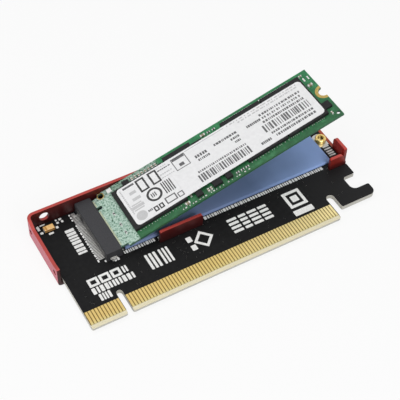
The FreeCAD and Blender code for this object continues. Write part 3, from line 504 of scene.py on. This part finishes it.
def padFinish(look):
    material, tree, shader = startFinish("blueSiliconePad", look["surface"])
    place = inMillimetres(tree)
    along = apart(tree, place)
    bloom = addNode(
        tree, "TexNoise", {"Scale": 1 / look["bloom"], "Detail": 2.0}, {"Vector": place}).outputs["Fac"]
    # painted light and shade: the blue darkens under the card and lightens towards the far end
    far = addNode(
        tree, "MapRange", {"From": look["ends"], "To": look["share"]}, {"Value": along["X"]}).outputs["Result"]
    drift = addNode(tree, "MapRange", {"To": look["bloomShare"]}, {"Value": bloom}).outputs["Result"]
    spread = addNode(tree, "Math", {"operation": "ADD"}, {0: far, 1: drift}).outputs[0]
    colour = addNode(tree, "ValToRGB", {"stops": look["tone"]}, {"Fac": spread}).outputs["Color"]
    powder = addNode(
        tree, "TexNoise", {"Scale": 1 / look["powder"], "Detail": 2.0}, {"Vector": place}).outputs["Fac"]
    layOn(tree, shader, colour, look["relief"], powder)
    return material


# dipped and moulded epoxy: warm yellow and satin, with its printed bar at one end. Its sides are a shade
# browner than its top.
yellowCapacitor = {
    "surface": {"Roughness": 0.48, "IOR": 1.52},
    "top": [(0.3, "eebb72"), (0.7, "f8cd8c")], "grain": 0.3, "relief": (0.2, 0.01),
    "bar": "c08a42", "barFrom": -9.35, "barTo": -8.85,
    "sides": "a5783f", "steep": (0.2, 0.8),
}


def capacitorFinish(look):
    material, tree, shader = startFinish("yellowMouldedEpoxy", look["surface"])
    place = inMillimetres(tree)
    along = apart(tree, place)
    facing = apart(tree, addNode(tree, "TexCoord").outputs["Normal"])
    grain = addNode(
        tree, "TexNoise", {"Scale": 1 / look["grain"], "Detail": 3.0}, {"Vector": place}).outputs["Fac"]
    top = addNode(tree, "ValToRGB", {"stops": look["top"]}, {"Fac": grain}).outputs["Color"]
    after = addNode(tree, "Math", {"operation": "GREATER_THAN", 1: look["barFrom"]}, {0: along["X"]}).outputs[0]
    before = addNode(tree, "Math", {"operation": "LESS_THAN", 1: look["barTo"]}, {0: along["X"]}).outputs[0]
    bar = addNode(tree, "Math", {"operation": "MULTIPLY"}, {0: after, 1: before}).outputs[0]
    barred = addNode(tree, "Mix", {"data_type": "RGBA", 7: look["bar"]}, {0: bar, 6: top}).outputs[2]
    side = addNode(
        tree, "MapRange", {"From": look["steep"], "To": (1, 0)}, {"Value": facing["Z"]}).outputs["Result"]
    colour = addNode(tree, "Mix", {"data_type": "RGBA", 7: look["sides"]}, {0: side, 6: barred}).outputs[2]
    layOn(tree, shader, colour, look["relief"], grain)
    return material


finishes = {
    "solder_mask": boardFinish(blackBoard),
    "gold_plate": goldFinish(hardGold),
    "anodised_red": trayFinish(redTray),
    "pad_blue": padFinish(bluePad),
    # nylon with glass fibre, moulded: flat dark grey with a fine spark-eroded grain
    "socket_black": grainyFinish(
        "glassFilledNylon", ("2c2c2f", "39393c"), 0.3,
        {"Roughness": 0.55, "IOR": 1.53, "Specular IOR Level": 0.3}, 0.3),
    # matt tin over phosphor bronze, stamped: pale and soft-edged
    "contact_tin": grainyFinish(
        "tinnedPhosphorBronze", ("cac9c6", "f0efeb"), 0.3, {"Metallic": 0.6, "Roughness": 0.4}),
    # turned brass, a little tarnished: pale gold with turning marks finer than shows
    "brass": grainyFinish(
        "turnedBrass", ("c8a552", "e3c87e", "f0dc9a"), 0.5, {"Metallic": 1.0, "Roughness": 0.3}, 0.15),
    # solder levelled with hot air: bright grey, in low heaps that break up what they mirror
    "solder_tin": grainyFinish(
        "levelledSolder", ("b2b2b0", "dededc"), 0.6, {"Metallic": 0.75, "Roughness": 0.34}, 0.4, 0.02),
    # cold-headed steel under bright nickel: cool grey, fairly sharp in its gloss
    "screw_steel": grainyFinish(
        "nickelPlatedSteel", ("86868a", "adadb0"), 0.5, {"Metallic": 1.0, "Roughness": 0.3}, 0.15),
    "capacitor_yellow": capacitorFinish(yellowCapacitor),
    "drive_green": cardFinish(greenCard),
    # transfer-moulded epoxy, matt black with the grain of the mould
    "chip_black": grainyFinish(
        "mouldedChipEpoxy", ("151516", "1e1e1f"), 0.2,
        {"Roughness": 0.6, "IOR": 1.55, "Specular IOR Level": 0.2}, 0.3),
    # fired barium titanate: biscuit coloured, satin and even
    "ceramic_tan": grainyFinish(
        "firedTitanate", ("766c58", "9b8f76"), 0.25, {"Roughness": 0.5, "IOR": 1.6}, 0.1),
    # alumina chip under dark fired glass: near black, with a soft gloss
    "ceramic_dark": grainyFinish(
        "glazedAlumina", ("2a2a2b", "3c3c3d"), 0.25, {"Roughness": 0.35, "IOR": 1.52}, 0.1),
    # coated paper label: flat white with a faint drift of fibre
    "label_white": grainyFinish(
        "coatedPaper", ("e2e2e3", "e9e9ea"), 1.2,
        {"Roughness": 0.6, "IOR": 1.5, "Specular IOR Level": 0.3}, 0.1),
}
# flash gold on the drive's own fingers: thin enough for the nickel to cool it
flashGold = grainyFinish("flashGold", ("a5a78c", "c4c6a9"), 0.3, {"Metallic": 0.9, "Roughness": 0.4})
# immersion gold, thin and a little brown over its copper
immersionGold = grainyFinish("immersionGold", ("a08a50", "bfa766"), 0.4, {"Metallic": 1.0, "Roughness": 0.4})
# screened epoxy ink on the boards, matt and a little mottled, and three strengths of thermal
# print on the label, which is as flat as its paper
inkSurface = {"Roughness": 0.6, "IOR": 1.5}
inks = {
    "white": grainyFinish("whiteScreenInk", ("d9d9d7", "f3f3f1"), 0.35, inkSurface, 0.3),
    "dark": grainyFinish("darkThermalPrint", ("1e1e1f", "323233"), 0.3, inkSurface),
    "grey": grainyFinish("greyThermalPrint", ("4c4c4d", "68686a"), 0.3, inkSurface),
    "faint": grainyFinish("faintThermalPrint", ("b7b7b8", "c8c8c9"), 0.3, inkSurface),
}
ownFinishes = {
    "drive_mount_ring": immersionGold,
    "drive_contacts_top": flashGold,
    "drive_contacts_bottom": flashGold,
}
slots = {row["node"]: row["material_slot"] for row in frame["record"]["subparts"]}
for node, thing in frame["nodes"].items():
    thing.data.materials.clear()
    thing.data.materials.append(ownFinishes.get(node, finishes[slots[node]]))
print("finishes set")


# soft pad: a flat sheet with shoulders that roll down to its rim, and two slow ripples
pad = {
    "shoulder": 0.45, "rim": 0.3, "fill": 0.9,
    "ripple": 0.012, "crossed": (5.1, 3.7), "slanted": (11.3, 6.1),  # height, and how long each is
    "pointsAlong": 150, "pointsAcross": 44,
}


def softPad():
    # height is the rim plus the rest times the quarter circle of the distance to the
    # nearest edge, plus two slow sine ripples; points crowd towards the edges
    low, high = (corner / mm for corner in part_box("thermal_pad"))
    s = (1 - np.cos(np.linspace(0, math.pi, pad["pointsAlong"]))) / 2
    t = (1 - np.cos(np.linspace(0, math.pi, pad["pointsAcross"]))) / 2
    s, t = np.meshgrid(s, t, indexing="ij")
    x, y = low.x + s * (high.x - low.x), low.y + t * (high.y - low.y)
    edge = np.minimum(np.minimum(x - low.x, high.x - x), np.minimum(y - low.y, high.y - y))
    roll = np.sqrt(1 - (1 - np.clip(edge / pad["shoulder"], 0, 1)) ** 2)
    full = high.z - low.z - 2 * pad["ripple"]
    crossed = np.sin(x / pad["crossed"][0] + 1) * np.sin(y / pad["crossed"][1])
    slanted = np.sin(x / pad["slanted"][0] + y / pad["slanted"][1])
    top = low.z + pad["rim"] + (full - pad["rim"]) * roll + pad["ripple"] * (crossed + slanted) * roll
    return closedSheet(x, y, top, np.full_like(x, low.z))


padSheet = newPiece("padSheet", [softPad()], finishes["pad_blue"], "adapter", smooth=True)
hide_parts("thermal_pad")
print("pad laid")


# label: paper over the row of packages, sunk a little where there is none under it
label = {
    "left": 9.15, "right": 75.75, "front": -7.75, "back": 7.5, "corner": 1.3,
    "level": 2.0, "thick": 0.1, "clear": 0.005,  # clear is how far it lies off the packages
    "gaps": ((26.25, 0.5), (38.4, 1.9), (44.2, 3.6), (61.9, 0.5)), "sag": 0.035,  # middle u, half width
    "pointsAlong": 200, "pointsAcross": 36,
}


def labelHeight(u):
    # the level less a smooth dip, a squared cosine, over each gap between packages
    dips = [
        label["sag"] * np.cos(np.clip((u - at) / half, -1, 1) * math.pi / 2) ** 2 for at, half in label["gaps"]]
    return label["level"] + label["thick"] - sum(dips)


def labelSheet():
    # rows across, each shortened near the corners by radius less the circle's chord
    t = np.linspace(0, 1, label["pointsAcross"])
    v = label["front"] + (label["back"] - label["front"]) * (1 - np.cos(math.pi * t)) / 2
    near = np.clip(label["corner"] - np.minimum(v - label["front"], label["back"] - v), 0, label["corner"])
    short = label["corner"] - np.sqrt(label["corner"] ** 2 - near ** 2)
    s = np.linspace(0, 1, label["pointsAlong"])[:, None]
    u = label["left"] + short + s * (label["right"] - label["left"] - 2 * short)
    top = labelHeight(u)
    return closedSheet(u, np.broadcast_to(v, u.shape), top, top - label["thick"] + label["clear"])


labelPiece = newPiece("labelPaper", [labelSheet()], finishes["label_white"], "drive", onCard)
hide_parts("drive_label")

# what is printed on the label, in three strengths. Bars are (middle u, middle v, length, width),
# frames have their line after that, and rows are what barRow takes.
labelInk = {
    "thick": 0.012, "lift": 0.001, "corner": 0.05, "longest": 0.8,
    "dark": {
        "frames": ((17.05, 4.45, 3.0, 5.0, 0.6), (21.35, 4.45, 3.0, 5.0, 0.6),
                   (16.6, -5.8, 1.5, 1.9, 0.45), (18.4, -5.8, 1.5, 1.9, 0.45)),
        "bars": (),
        "rows": ((21.7, 25.0, -0.85, 4.6, (0.36,), (0.36,), 4),),
    },
    "grey": {
        "frames": ((21.9, -5.4, 3.7, 2.5, 0.4), (25.1, -5.8, 1.9, 1.9, 0.32), (30.65, 4.35, 4.9, 4.9, 0.26)),
        "bars": ((13.15, 6.5, 3.9, 0.75), (30.65, 6.2, 4.2, 1.0), (30.65, 3.4, 1.6, 1.2)),
        "rows": (
            (23.1, 27.6, 5.65, 0.4, (0.5, 0.7), (0.12,), 5),
            (17.4, 19.6, -0.95, 1.6, (0.35,), (0.3,), 6),
            (35.1, 39.9, 2.85, 1.1, (0.35, 0.6), (0.22, 0.3), 7),
            (35.4, 39.9, 1.3, 0.85, (0.3, 0.5), (0.2, 0.3), 8),
            (41.9, 50.6, 3.1, 0.85, (0.3, 0.55, 0.8), (0.16, 0.26), 9),
            (47.1, 50.6, 1.5, 0.85, (0.3, 0.55), (0.16, 0.26), 10),
            (47.8, 50.4, -0.05, 0.8, (0.3, 0.55), (0.16, 0.26), 11),
            (33.1, 50.7, -2.55, 0.75, (0.3, 0.5), (0.2, 0.32), 12),
            (32.3, 50.7, -4.95, 2.9, (0.2, 0.35, 0.55), (0.22, 0.4), 13),
            (53.4, 58.5, 2.45, 0.9, (0.4, 0.6), (0.14,), 14),
            (58.7, 73.5, 3.85, 0.8, (0.3, 0.5, 0.7), (0.2, 0.4), 15),
            (59.0, 73.5, 2.4, 0.8, (0.3, 0.5), (0.3, 0.6), 16),
            (58.4, 73.5, 0.9, 0.85, (0.3, 0.5, 0.7), (0.18, 0.3), 17),
            (57.2, 73.6, -1.6, 2.9, (0.2, 0.35, 0.6), (0.24, 0.5), 18),
            (58.4, 73.5, -4.2, 0.8, (0.3, 0.5, 0.7), (0.18, 0.3), 19),
            (53.8, 57.6, -5.75, 0.95, (0.4, 0.6), (0.14,), 20),
            (59.2, 73.4, -5.75, 0.9, (0.3, 0.5, 0.7), (0.18, 0.3), 21),
            (14.1, 15.7, -5.15, 0.7, (0.4,), (0.12,), 22),
        ),
    },
    "faint": {
        "frames": (),
        "bars": ((12.4, -1.55, 4.2, 1.1), (12.4, -0.55, 3.4, 0.5), (12.4, -2.6, 3.4, 0.5),
                 (13.3, 3.7, 2.2, 1.1), (13.4, 1.2, 2.7, 1.1), (40.5, 6.8, 14.0, 0.25)),
        "rows": (
            (-3.4, 6.8, 10.2, 0.5, (0.4, 0.6), (0.2,), 23, True),
            (23.1, 27.6, 6.65, 0.35, (0.5, 0.7), (0.2,), 24),
            (23.1, 27.6, 3.85, 0.5, (0.5, 0.7), (0.15,), 25),
            (23.1, 27.6, 2.55, 0.35, (0.5, 0.7), (0.2,), 26),
            (48.6, 74.0, 6.75, 0.45, (0.4, 0.7, 1.1), (0.3, 0.7), 27),
            (52.2, 74.2, 5.8, 0.5, (0.4, 0.7, 1.1), (0.25, 0.5), 28),
        ),
    },
    "ring": {"at": (18.5, -0.95), "inner": 1.78, "outer": 2.5},
    "disc": {"at": (11.9, -5.2), "radius": 1.72},
}


def cutShort(rows, longest):
    # a long bar becomes short ones end to end, none past the longest, so that they follow the paper
    rows = np.asarray(rows, float).reshape(-1, 4)
    count = np.maximum(1, np.ceil(rows[:, 2] / longest)).astype(int)
    turn = np.arange(count.sum()) - np.repeat(np.cumsum(count) - count, count)
    u, v, length, width = np.repeat(rows, count, axis=0).T
    parts = np.repeat(count, count)
    return np.stack([u - length / 2 + (turn + 0.5) * length / parts, v, length / parts, width], 1)


def inked(rows):
    # each bar lies a hair over the paper, at the paper's height at its middle
    base = labelHeight(rows[:, 0]) + labelInk["lift"]
    outlines = roundedOutlines(rows, labelInk["corner"], arcSteps=2)
    return prisms(outlines, outlines, base, base + labelInk["thick"])


ring, disc = labelInk["ring"], labelInk["disc"]
roundLow = float(labelHeight(np.array(ring["at"][0]))) + labelInk["lift"]
roundHigh = roundLow + labelInk["thick"]
discRow = (*disc["at"], 2 * disc["radius"], 2 * disc["radius"])
discOutline = roundedOutlines([discRow], disc["radius"], arcSteps=12)
roundPrint = {
    "dark": [rings([ring["at"]], ring["inner"], ring["outer"], roundLow, roundHigh, steps=48)],
    "grey": [],
    "faint": [prisms(discOutline, discOutline, roundLow, roundHigh)],
}
for name, ink in (("labelDarkPrint", "dark"), ("labelGreyPrint", "grey"), ("labelFaintPrint", "faint")):
    marks = labelInk[ink]
    solid = np.concatenate([frames(marks["frames"]), np.reshape(marks["bars"], (-1, 4))])
    printed = np.concatenate([cutShort(solid, labelInk["longest"])] + [barRow(*row) for row in marks["rows"]])
    piece = newPiece(name, [inked(printed)] + roundPrint[ink], inks[ink], "drive", onCard)
print("label laid and printed")


# white print on the black board, as bars, frames and rows in x and y, with a grid of bars
boardInk = {
    "thick": 0.025, "sunk": 0.01, "corner": 0.18,
    "bars": ((63.6, 7.85, 6.8, 2.1), (63.6, 13.2, 2.4, 2.4), (26.9, 11.3, 1.7, 2.0), (26.9, 14.6, 1.7, 2.0),
             (-10.9, 39.9, 0.8, 1.8), (-10.6, 37.8, 1.0, 0.8), (-8.1, 36.5, 1.6, 0.7), (-5.6, 37.8, 0.8, 0.9),
             (-9.3, 40.6, 1.7, 0.5), (-4.8, 39.3, 0.8, 0.7), (-3.6, 40.3, 0.9, 0.7), (-4.9, 40.4, 0.6, 0.6),
             (-3.3, 39.2, 0.7, 0.8)),
    "frames": ((-5.0, 14.25, 3.3, 3.0, 0.8), (-1.3, 14.25, 3.3, 3.0, 0.8), (2.3, 14.25, 3.1, 3.0, 0.8),
               (63.6, 13.2, 6.2, 6.4, 1.0)),
    "diamond": {"at": (31.0, 12.9), "inner": 2.1, "outer": 3.3},
    "grid": {"across": (42.0, 45.6, 49.1, 52.8), "wide": (3.3, 2.5, 3.2, 3.0),
             "first": 10.55, "last": 15.25, "count": 4, "tall": 0.95},
    "rows": (
        (4.4, 6.6, 14.25, 2.4, (0.6,), (0.35,), 31),
        (-6.7, 7.2, 11.2, 2.3, (0.7, 1.1), (0.28, 0.4), 32),
        (-5.7, -1.3, 8.4, 2.5, (0.55, 0.8), (0.3,), 33),
        (12.2, 15.8, 12.9, 5.8, (0.85,), (0.5,), 34),
        (16.7, 20.0, 12.9, 5.8, (0.7,), (0.5,), 35),
        (25.1, 36.0, -2.95, 2.9, (0.8, 1.1), (0.3, 0.42), 37, True),
        (7.7, 18.3, 19.65, 1.25, (0.4, 0.6, 0.9), (0.22, 0.3), 38),
        (34.9, 78.7, 19.6, 1.2, (0.4, 0.6, 0.9), (0.22, 0.3), 39),
        (19.0, 34.0, 19.6, 1.0, (0.4, 0.6, 0.9), (0.22, 0.3), 40),
        (1.3, 4.1, 19.4, 0.75, (0.5, 0.8), (0.25,), 42),
        (3.9, 5.8, 18.45, 1.0, (0.5, 0.7), (0.25,), 43),
        (19.9, 36.4, -0.35, 0.45, (0.4, 0.7, 1.0), (0.25, 0.4), 44, True),
        (37.6, 40.9, -0.5, 0.5, (0.4, 0.7), (0.25, 0.4), 45, True),
        (22.6, 28.8, 84.5, 2.3, (0.35, 0.6), (0.35, 0.5), 41, True),
    ),
}
grid, diamond = boardInk["grid"], boardInk["diamond"]
gridPrint = np.stack([
    np.tile(grid["across"], grid["count"]),
    np.repeat(np.linspace(grid["first"], grid["last"], grid["count"]), len(grid["across"])),
    np.tile(grid["wide"], grid["count"]),
    np.full(grid["count"] * len(grid["across"]), grid["tall"])], 1)
whitePrint = np.concatenate(
    [boardInk["bars"], frames(boardInk["frames"]), gridPrint] + [barRow(*row) for row in boardInk["rows"]])
inBoard, onBoard = boardTop - boardInk["sunk"], boardTop + boardInk["thick"]
whiteBars = bars(whitePrint, inBoard, onBoard, boardInk["corner"])
whiteDiamond = rings([diamond["at"]], diamond["inner"], diamond["outer"], inBoard, onBoard, steps=4)
boardPrint = newPiece("boardPrint", [whiteBars, whiteDiamond], inks["white"], "adapter")
print("board printed")

# tinned pads that stand out past the socket's feet, and the wide ones at its hold-downs
socketPads = {
    "pitch": 0.5, "first": 0.15, "width": 0.3, "thick": 0.03, "corner": 0.08,
    "left": (-0.25, 1.9), "right": (6.9, 8.35),
    "holdDowns": ((4.2, 18.55, 1.6, 0.5), (0.6, 39.6, 1.2, 1.8)),
}
feetLow, feetHigh = (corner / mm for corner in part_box("socket_contacts_upper"))
padMiddles = np.arange(feetLow.y + socketPads["first"], feetHigh.y, socketPads["pitch"])
padRows = [
    np.stack(np.broadcast_arrays((start + end) / 2, padMiddles, end - start, socketPads["width"]), 1)
    for start, end in (socketPads["left"], socketPads["right"])]
padBars = bars(np.concatenate(padRows + [socketPads["holdDowns"]]), inBoard, boardTop + socketPads["thick"],
               socketPads["corner"])
padPiece = newPiece("socketPads", [padBars], finishes["solder_tin"], "adapter")

# plated holes under the mask: low rings, scattered by a fixed seed over the open parts of the
# board, clear of the print and of the key notch, the end notch and the diamond
holes = {
    "count": 70, "inner": 0.14, "outer": 0.3, "thick": 0.012,
    "seed": 8, "tries": 400, "across": (-10.5, 79.5), "deep": (7.2, 18.4),
    "printClear": 0.6, "keyClear": 2.5, "endNotch": 73.5, "endClear": 2.4, "diamondClear": 4,
}
draw = np.random.default_rng(holes["seed"])
spots = np.stack([draw.uniform(*holes[span], holes["tries"]) for span in ("across", "deep")], 1)
offPrint = np.abs(spots[:, None] - whitePrint[None, :, :2]) > whitePrint[None, :, 2:] / 2 + holes["printClear"]
clear = offPrint.any(2).all(1)
clear &= np.abs(spots[:, 0]) > holes["keyClear"]
clear &= np.abs(spots[:, 0] - holes["endNotch"]) > holes["endClear"]
clear &= np.hypot(*(spots - diamond["at"]).T) > holes["diamondClear"]
holeRims = rings(spots[clear][:holes["count"]], holes["inner"], holes["outer"], inBoard,
                 boardTop + holes["thick"], steps=12)
holeRings = newPiece("boardHoles", [holeRims], finishes["solder_mask"], "adapter")
print("pads and plated holes set")

# small parts on the card: middle u, middle v, length, width, height, as in the part. Lands are
# rows of bare solder where parts of the busy edges are only hinted at.
smallParts = {
    "capacitors": (
        (25.2, -9.4, 1.5, 0.8, 0.6), (27.3, -7.4, 0.6, 1.1, 0.5), (32.6, -9.2, 0.6, 1.0, 0.5),
        (33.6, -9.2, 0.6, 1.0, 0.5), (15.6, 9.0, 0.6, 1.1, 0.5), (16.8, 9.0, 0.6, 1.1, 0.5),
        (18.0, 9.0, 0.6, 1.1, 0.5), (19.2, 9.0, 0.6, 1.1, 0.5), (20.4, 9.0, 0.6, 1.1, 0.5),
        (21.6, 9.0, 0.6, 1.1, 0.5), (22.8, 9.0, 0.6, 1.1, 0.5), (24.0, 9.0, 0.6, 1.1, 0.5),
        (41.3, 9.3, 1.6, 0.8, 0.6), (77.9, 4.4, 1.6, 0.8, 0.6), (77.3, 9.4, 1.0, 0.5, 0.4),
        (77.3, -8.6, 0.5, 1.0, 0.4)),
    "resistors": (
        (42.9, -9.2, 1.0, 0.5, 0.35), (44.6, -9.2, 1.0, 0.5, 0.35), (46.3, -9.2, 1.0, 0.5, 0.35),
        (43.4, 9.3, 1.0, 0.5, 0.35), (45.2, 9.3, 1.0, 0.5, 0.35), (5.2, -6.6, 0.5, 1.0, 0.35),
        (5.2, -3.2, 0.5, 1.0, 0.35), (5.2, 1.4, 0.5, 1.0, 0.35)),
    "cap": 0.24, "proud": 0.015, "capCorner": 0.06,
    "foot": 0.08, "footRise": 0.4, "footLean": 0.9, "footCorner": 0.12, "footTopCorner": 0.08,
    "lands": (
        (48.2, 75.6, -8.72, 0.34, (0.3,), (0.35, 0.7, 1.0), 52),
        (9.0, 25.0, -8.72, 0.3, (0.28,), (0.45, 0.8), 53),
        (23.0, 47.0, -10.25, 0.4, (0.3, 0.55), (0.5, 0.9, 1.4), 56)),
    "landThick": 0.05, "landCorner": 0.12, "sunk": 0.005,
}
inCard = card["thick"] - smallParts["sunk"]


def endCaps():
    # an end cap covers about a quarter of each end of a part and stands a hair proud of it,
    # and its solder leans up to it from a wider foot on the card
    rows = np.array(smallParts["capacitors"] + smallParts["resistors"])
    lengthwise = (rows[:, 2] >= rows[:, 3])[:, None]
    length, width = rows[:, 2:4].max(1), rows[:, 2:4].min(1)
    shift = length * (0.5 - smallParts["cap"] / 2)
    shift = np.where(lengthwise, np.stack([shift, 0 * shift], 1), np.stack([0 * shift, shift], 1))
    size = np.stack([length * smallParts["cap"], width], 1) + 2 * smallParts["proud"]
    size = np.tile(np.where(lengthwise, size, size[:, ::-1]), (2, 1))
    middle = np.concatenate([rows[:, :2] - shift, rows[:, :2] + shift])
    tall = np.tile(rows[:, 4], 2)
    caps = roundedOutlines(np.concatenate([middle, size], 1), smallParts["capCorner"], arcSteps=3)
    feet = np.concatenate([middle, size + 2 * smallParts["foot"]], 1)
    footLow = roundedOutlines(feet, smallParts["footCorner"], arcSteps=3)
    lean = smallParts["foot"] * smallParts["footLean"]
    footHigh = roundedOutlines(feet, smallParts["footTopCorner"], arcSteps=3, inset=lean)
    return [prisms(caps, caps, card["thick"], card["thick"] + tall + smallParts["proud"]),
            prisms(footLow, footHigh, inCard, card["thick"] + tall * smallParts["footRise"])]


cardLands = bars(np.concatenate([barRow(*row) for row in smallParts["lands"]]), inCard,
                 card["thick"] + smallParts["landThick"], smallParts["landCorner"])
endPiece = newPiece("smallPartEnds", endCaps() + [cardLands], finishes["solder_tin"], "drive", onCard)

# pale print on the green card: short marks near its ends, and rows of bars along its back edge
cardInk = {
    "thick": 0.02, "corner": 0.05,
    "bars": ((7.8, 10.0, 1.5, 1.5), (77.6, 7.6, 0.5, 1.5), (79.1, 7.6, 0.4, 1.4)),
    "rows": ((49.0, 60.0, 9.9, 0.35, (0.4, 0.7), (0.3,), 54), (62.0, 74.0, 9.9, 0.35, (0.4, 0.7), (0.3,), 55)),
}
cardMarks = np.concatenate([cardInk["bars"]] + [barRow(*row) for row in cardInk["rows"]])
cardBars = bars(cardMarks, inCard, card["thick"] + cardInk["thick"], cardInk["corner"])
cardPrint = newPiece("cardPrint", [cardBars], inks["white"], "drive", onCard)

# gold ring round the tool hole by the socket
toolHole = {"at": (4.7, 9.8), "inner": 0.92, "outer": 1.2, "thick": 0.02}
toolRing = rings([toolHole["at"]], toolHole["inner"], toolHole["outer"], inCard,
                 card["thick"] + toolHole["thick"], steps=32)
ringPiece = newPiece("toolHoleRing", [toolRing], immersionGold, "drive", onCard)
print("card dressed")


def seenRays(tree):
    # one for rays from the eye, from a mirror or through glass, nothing for rays that light
    rays = addNode(tree, "LightPath").outputs
    direct = addNode(
        tree, "Math", {"operation": "MAXIMUM"}, {0: rays["Is Camera Ray"], 1: rays["Is Glossy Ray"]}).outputs[0]
    return addNode(
        tree, "Math", {"operation": "MAXIMUM"}, {0: direct, 1: rays["Is Transmission Ray"]}).outputs[0]


# pale floor and soft studio light
studio = {
    "span": 1.6, "drop": 0.02, "floor": "e6e6e6", "rough": 0.9, "whiten": 0.86, "sky": 0.3,
    "aim": (0.036, 0.02, 0),
    "lamps": (  # name, place, power, size
        ("overheadSoftbox", (-0.12, 0.02, 0.62), 1.6, 0.5),
        ("leftSoftbox", (-0.6, 0.05, 0.22), 1.3, 0.4),
        ("frontSoftbox", (0.05, -0.56, 0.46), 2.2, 0.4),
    ),
}
fullWhite = {"Color": (1, 1, 1, 1), "Strength": 1.0}
floorMesh = bpy.data.meshes.new("paleFloor")
corners = np.array([(-1, -1), (1, -1), (1, 1), (-1, 1)]) * studio["span"]
floorLevel = np.full(4, cadBox[0][2] - studio["drop"] * mm)
floorMesh.from_pydata(np.c_[corners, floorLevel].tolist(), [], [(0, 1, 2, 3)])
floor = bpy.data.objects.new("paleFloor", floorMesh)
bpy.context.scene.collection.objects.link(floor)
# matt white paper, whitened to the eye, with the share left that shows the shadow
floorFinish, tree, shader = startFinish(
    "whitePaperFloor", {"Base Color": hexColour(studio["floor"]), "Roughness": studio["rough"]})
share = addNode(tree, "Math", {"operation": "MULTIPLY", 1: studio["whiten"]}, {0: seenRays(tree)}).outputs[0]
glow = addNode(tree, "Emission", fullWhite).outputs[0]
paper = addNode(tree, "MixShader", links={0: share, 1: shader.outputs[0], 2: glow}).outputs[0]
tree.links.new(paper, tree.nodes["Material Output"].inputs["Surface"])
floorMesh.materials.append(floorFinish)

for name, place, power, size in studio["lamps"]:
    lamp = bpy.data.lights.new(name, "AREA")
    lamp.energy, lamp.size, lamp.shape = power, size, "DISK"
    softbox = bpy.data.objects.new(name, lamp)
    softbox.location = place
    softbox.rotation_euler = (Vector(studio["aim"]) - Vector(place)).to_track_quat("-Z", "Y").to_euler()
    bpy.context.scene.collection.objects.link(softbox)
world = bpy.data.worlds.new("softRoom")
world.use_nodes = True
tree = world.node_tree
room = addNode(tree, "Background", {"Color": (1, 1, 1, 1), "Strength": studio["sky"]}).outputs[0]
white = addNode(tree, "Background", fullWhite).outputs[0]
sky = addNode(tree, "MixShader", links={0: seenRays(tree), 1: room, 2: white}).outputs[0]
tree.links.new(sky, tree.nodes["World Output"].inputs["Surface"])
bpy.context.scene.world = world
bpy.context.scene.view_settings.view_transform = "Standard"
print("floor and light set")

bpy.context.view_layer.update()
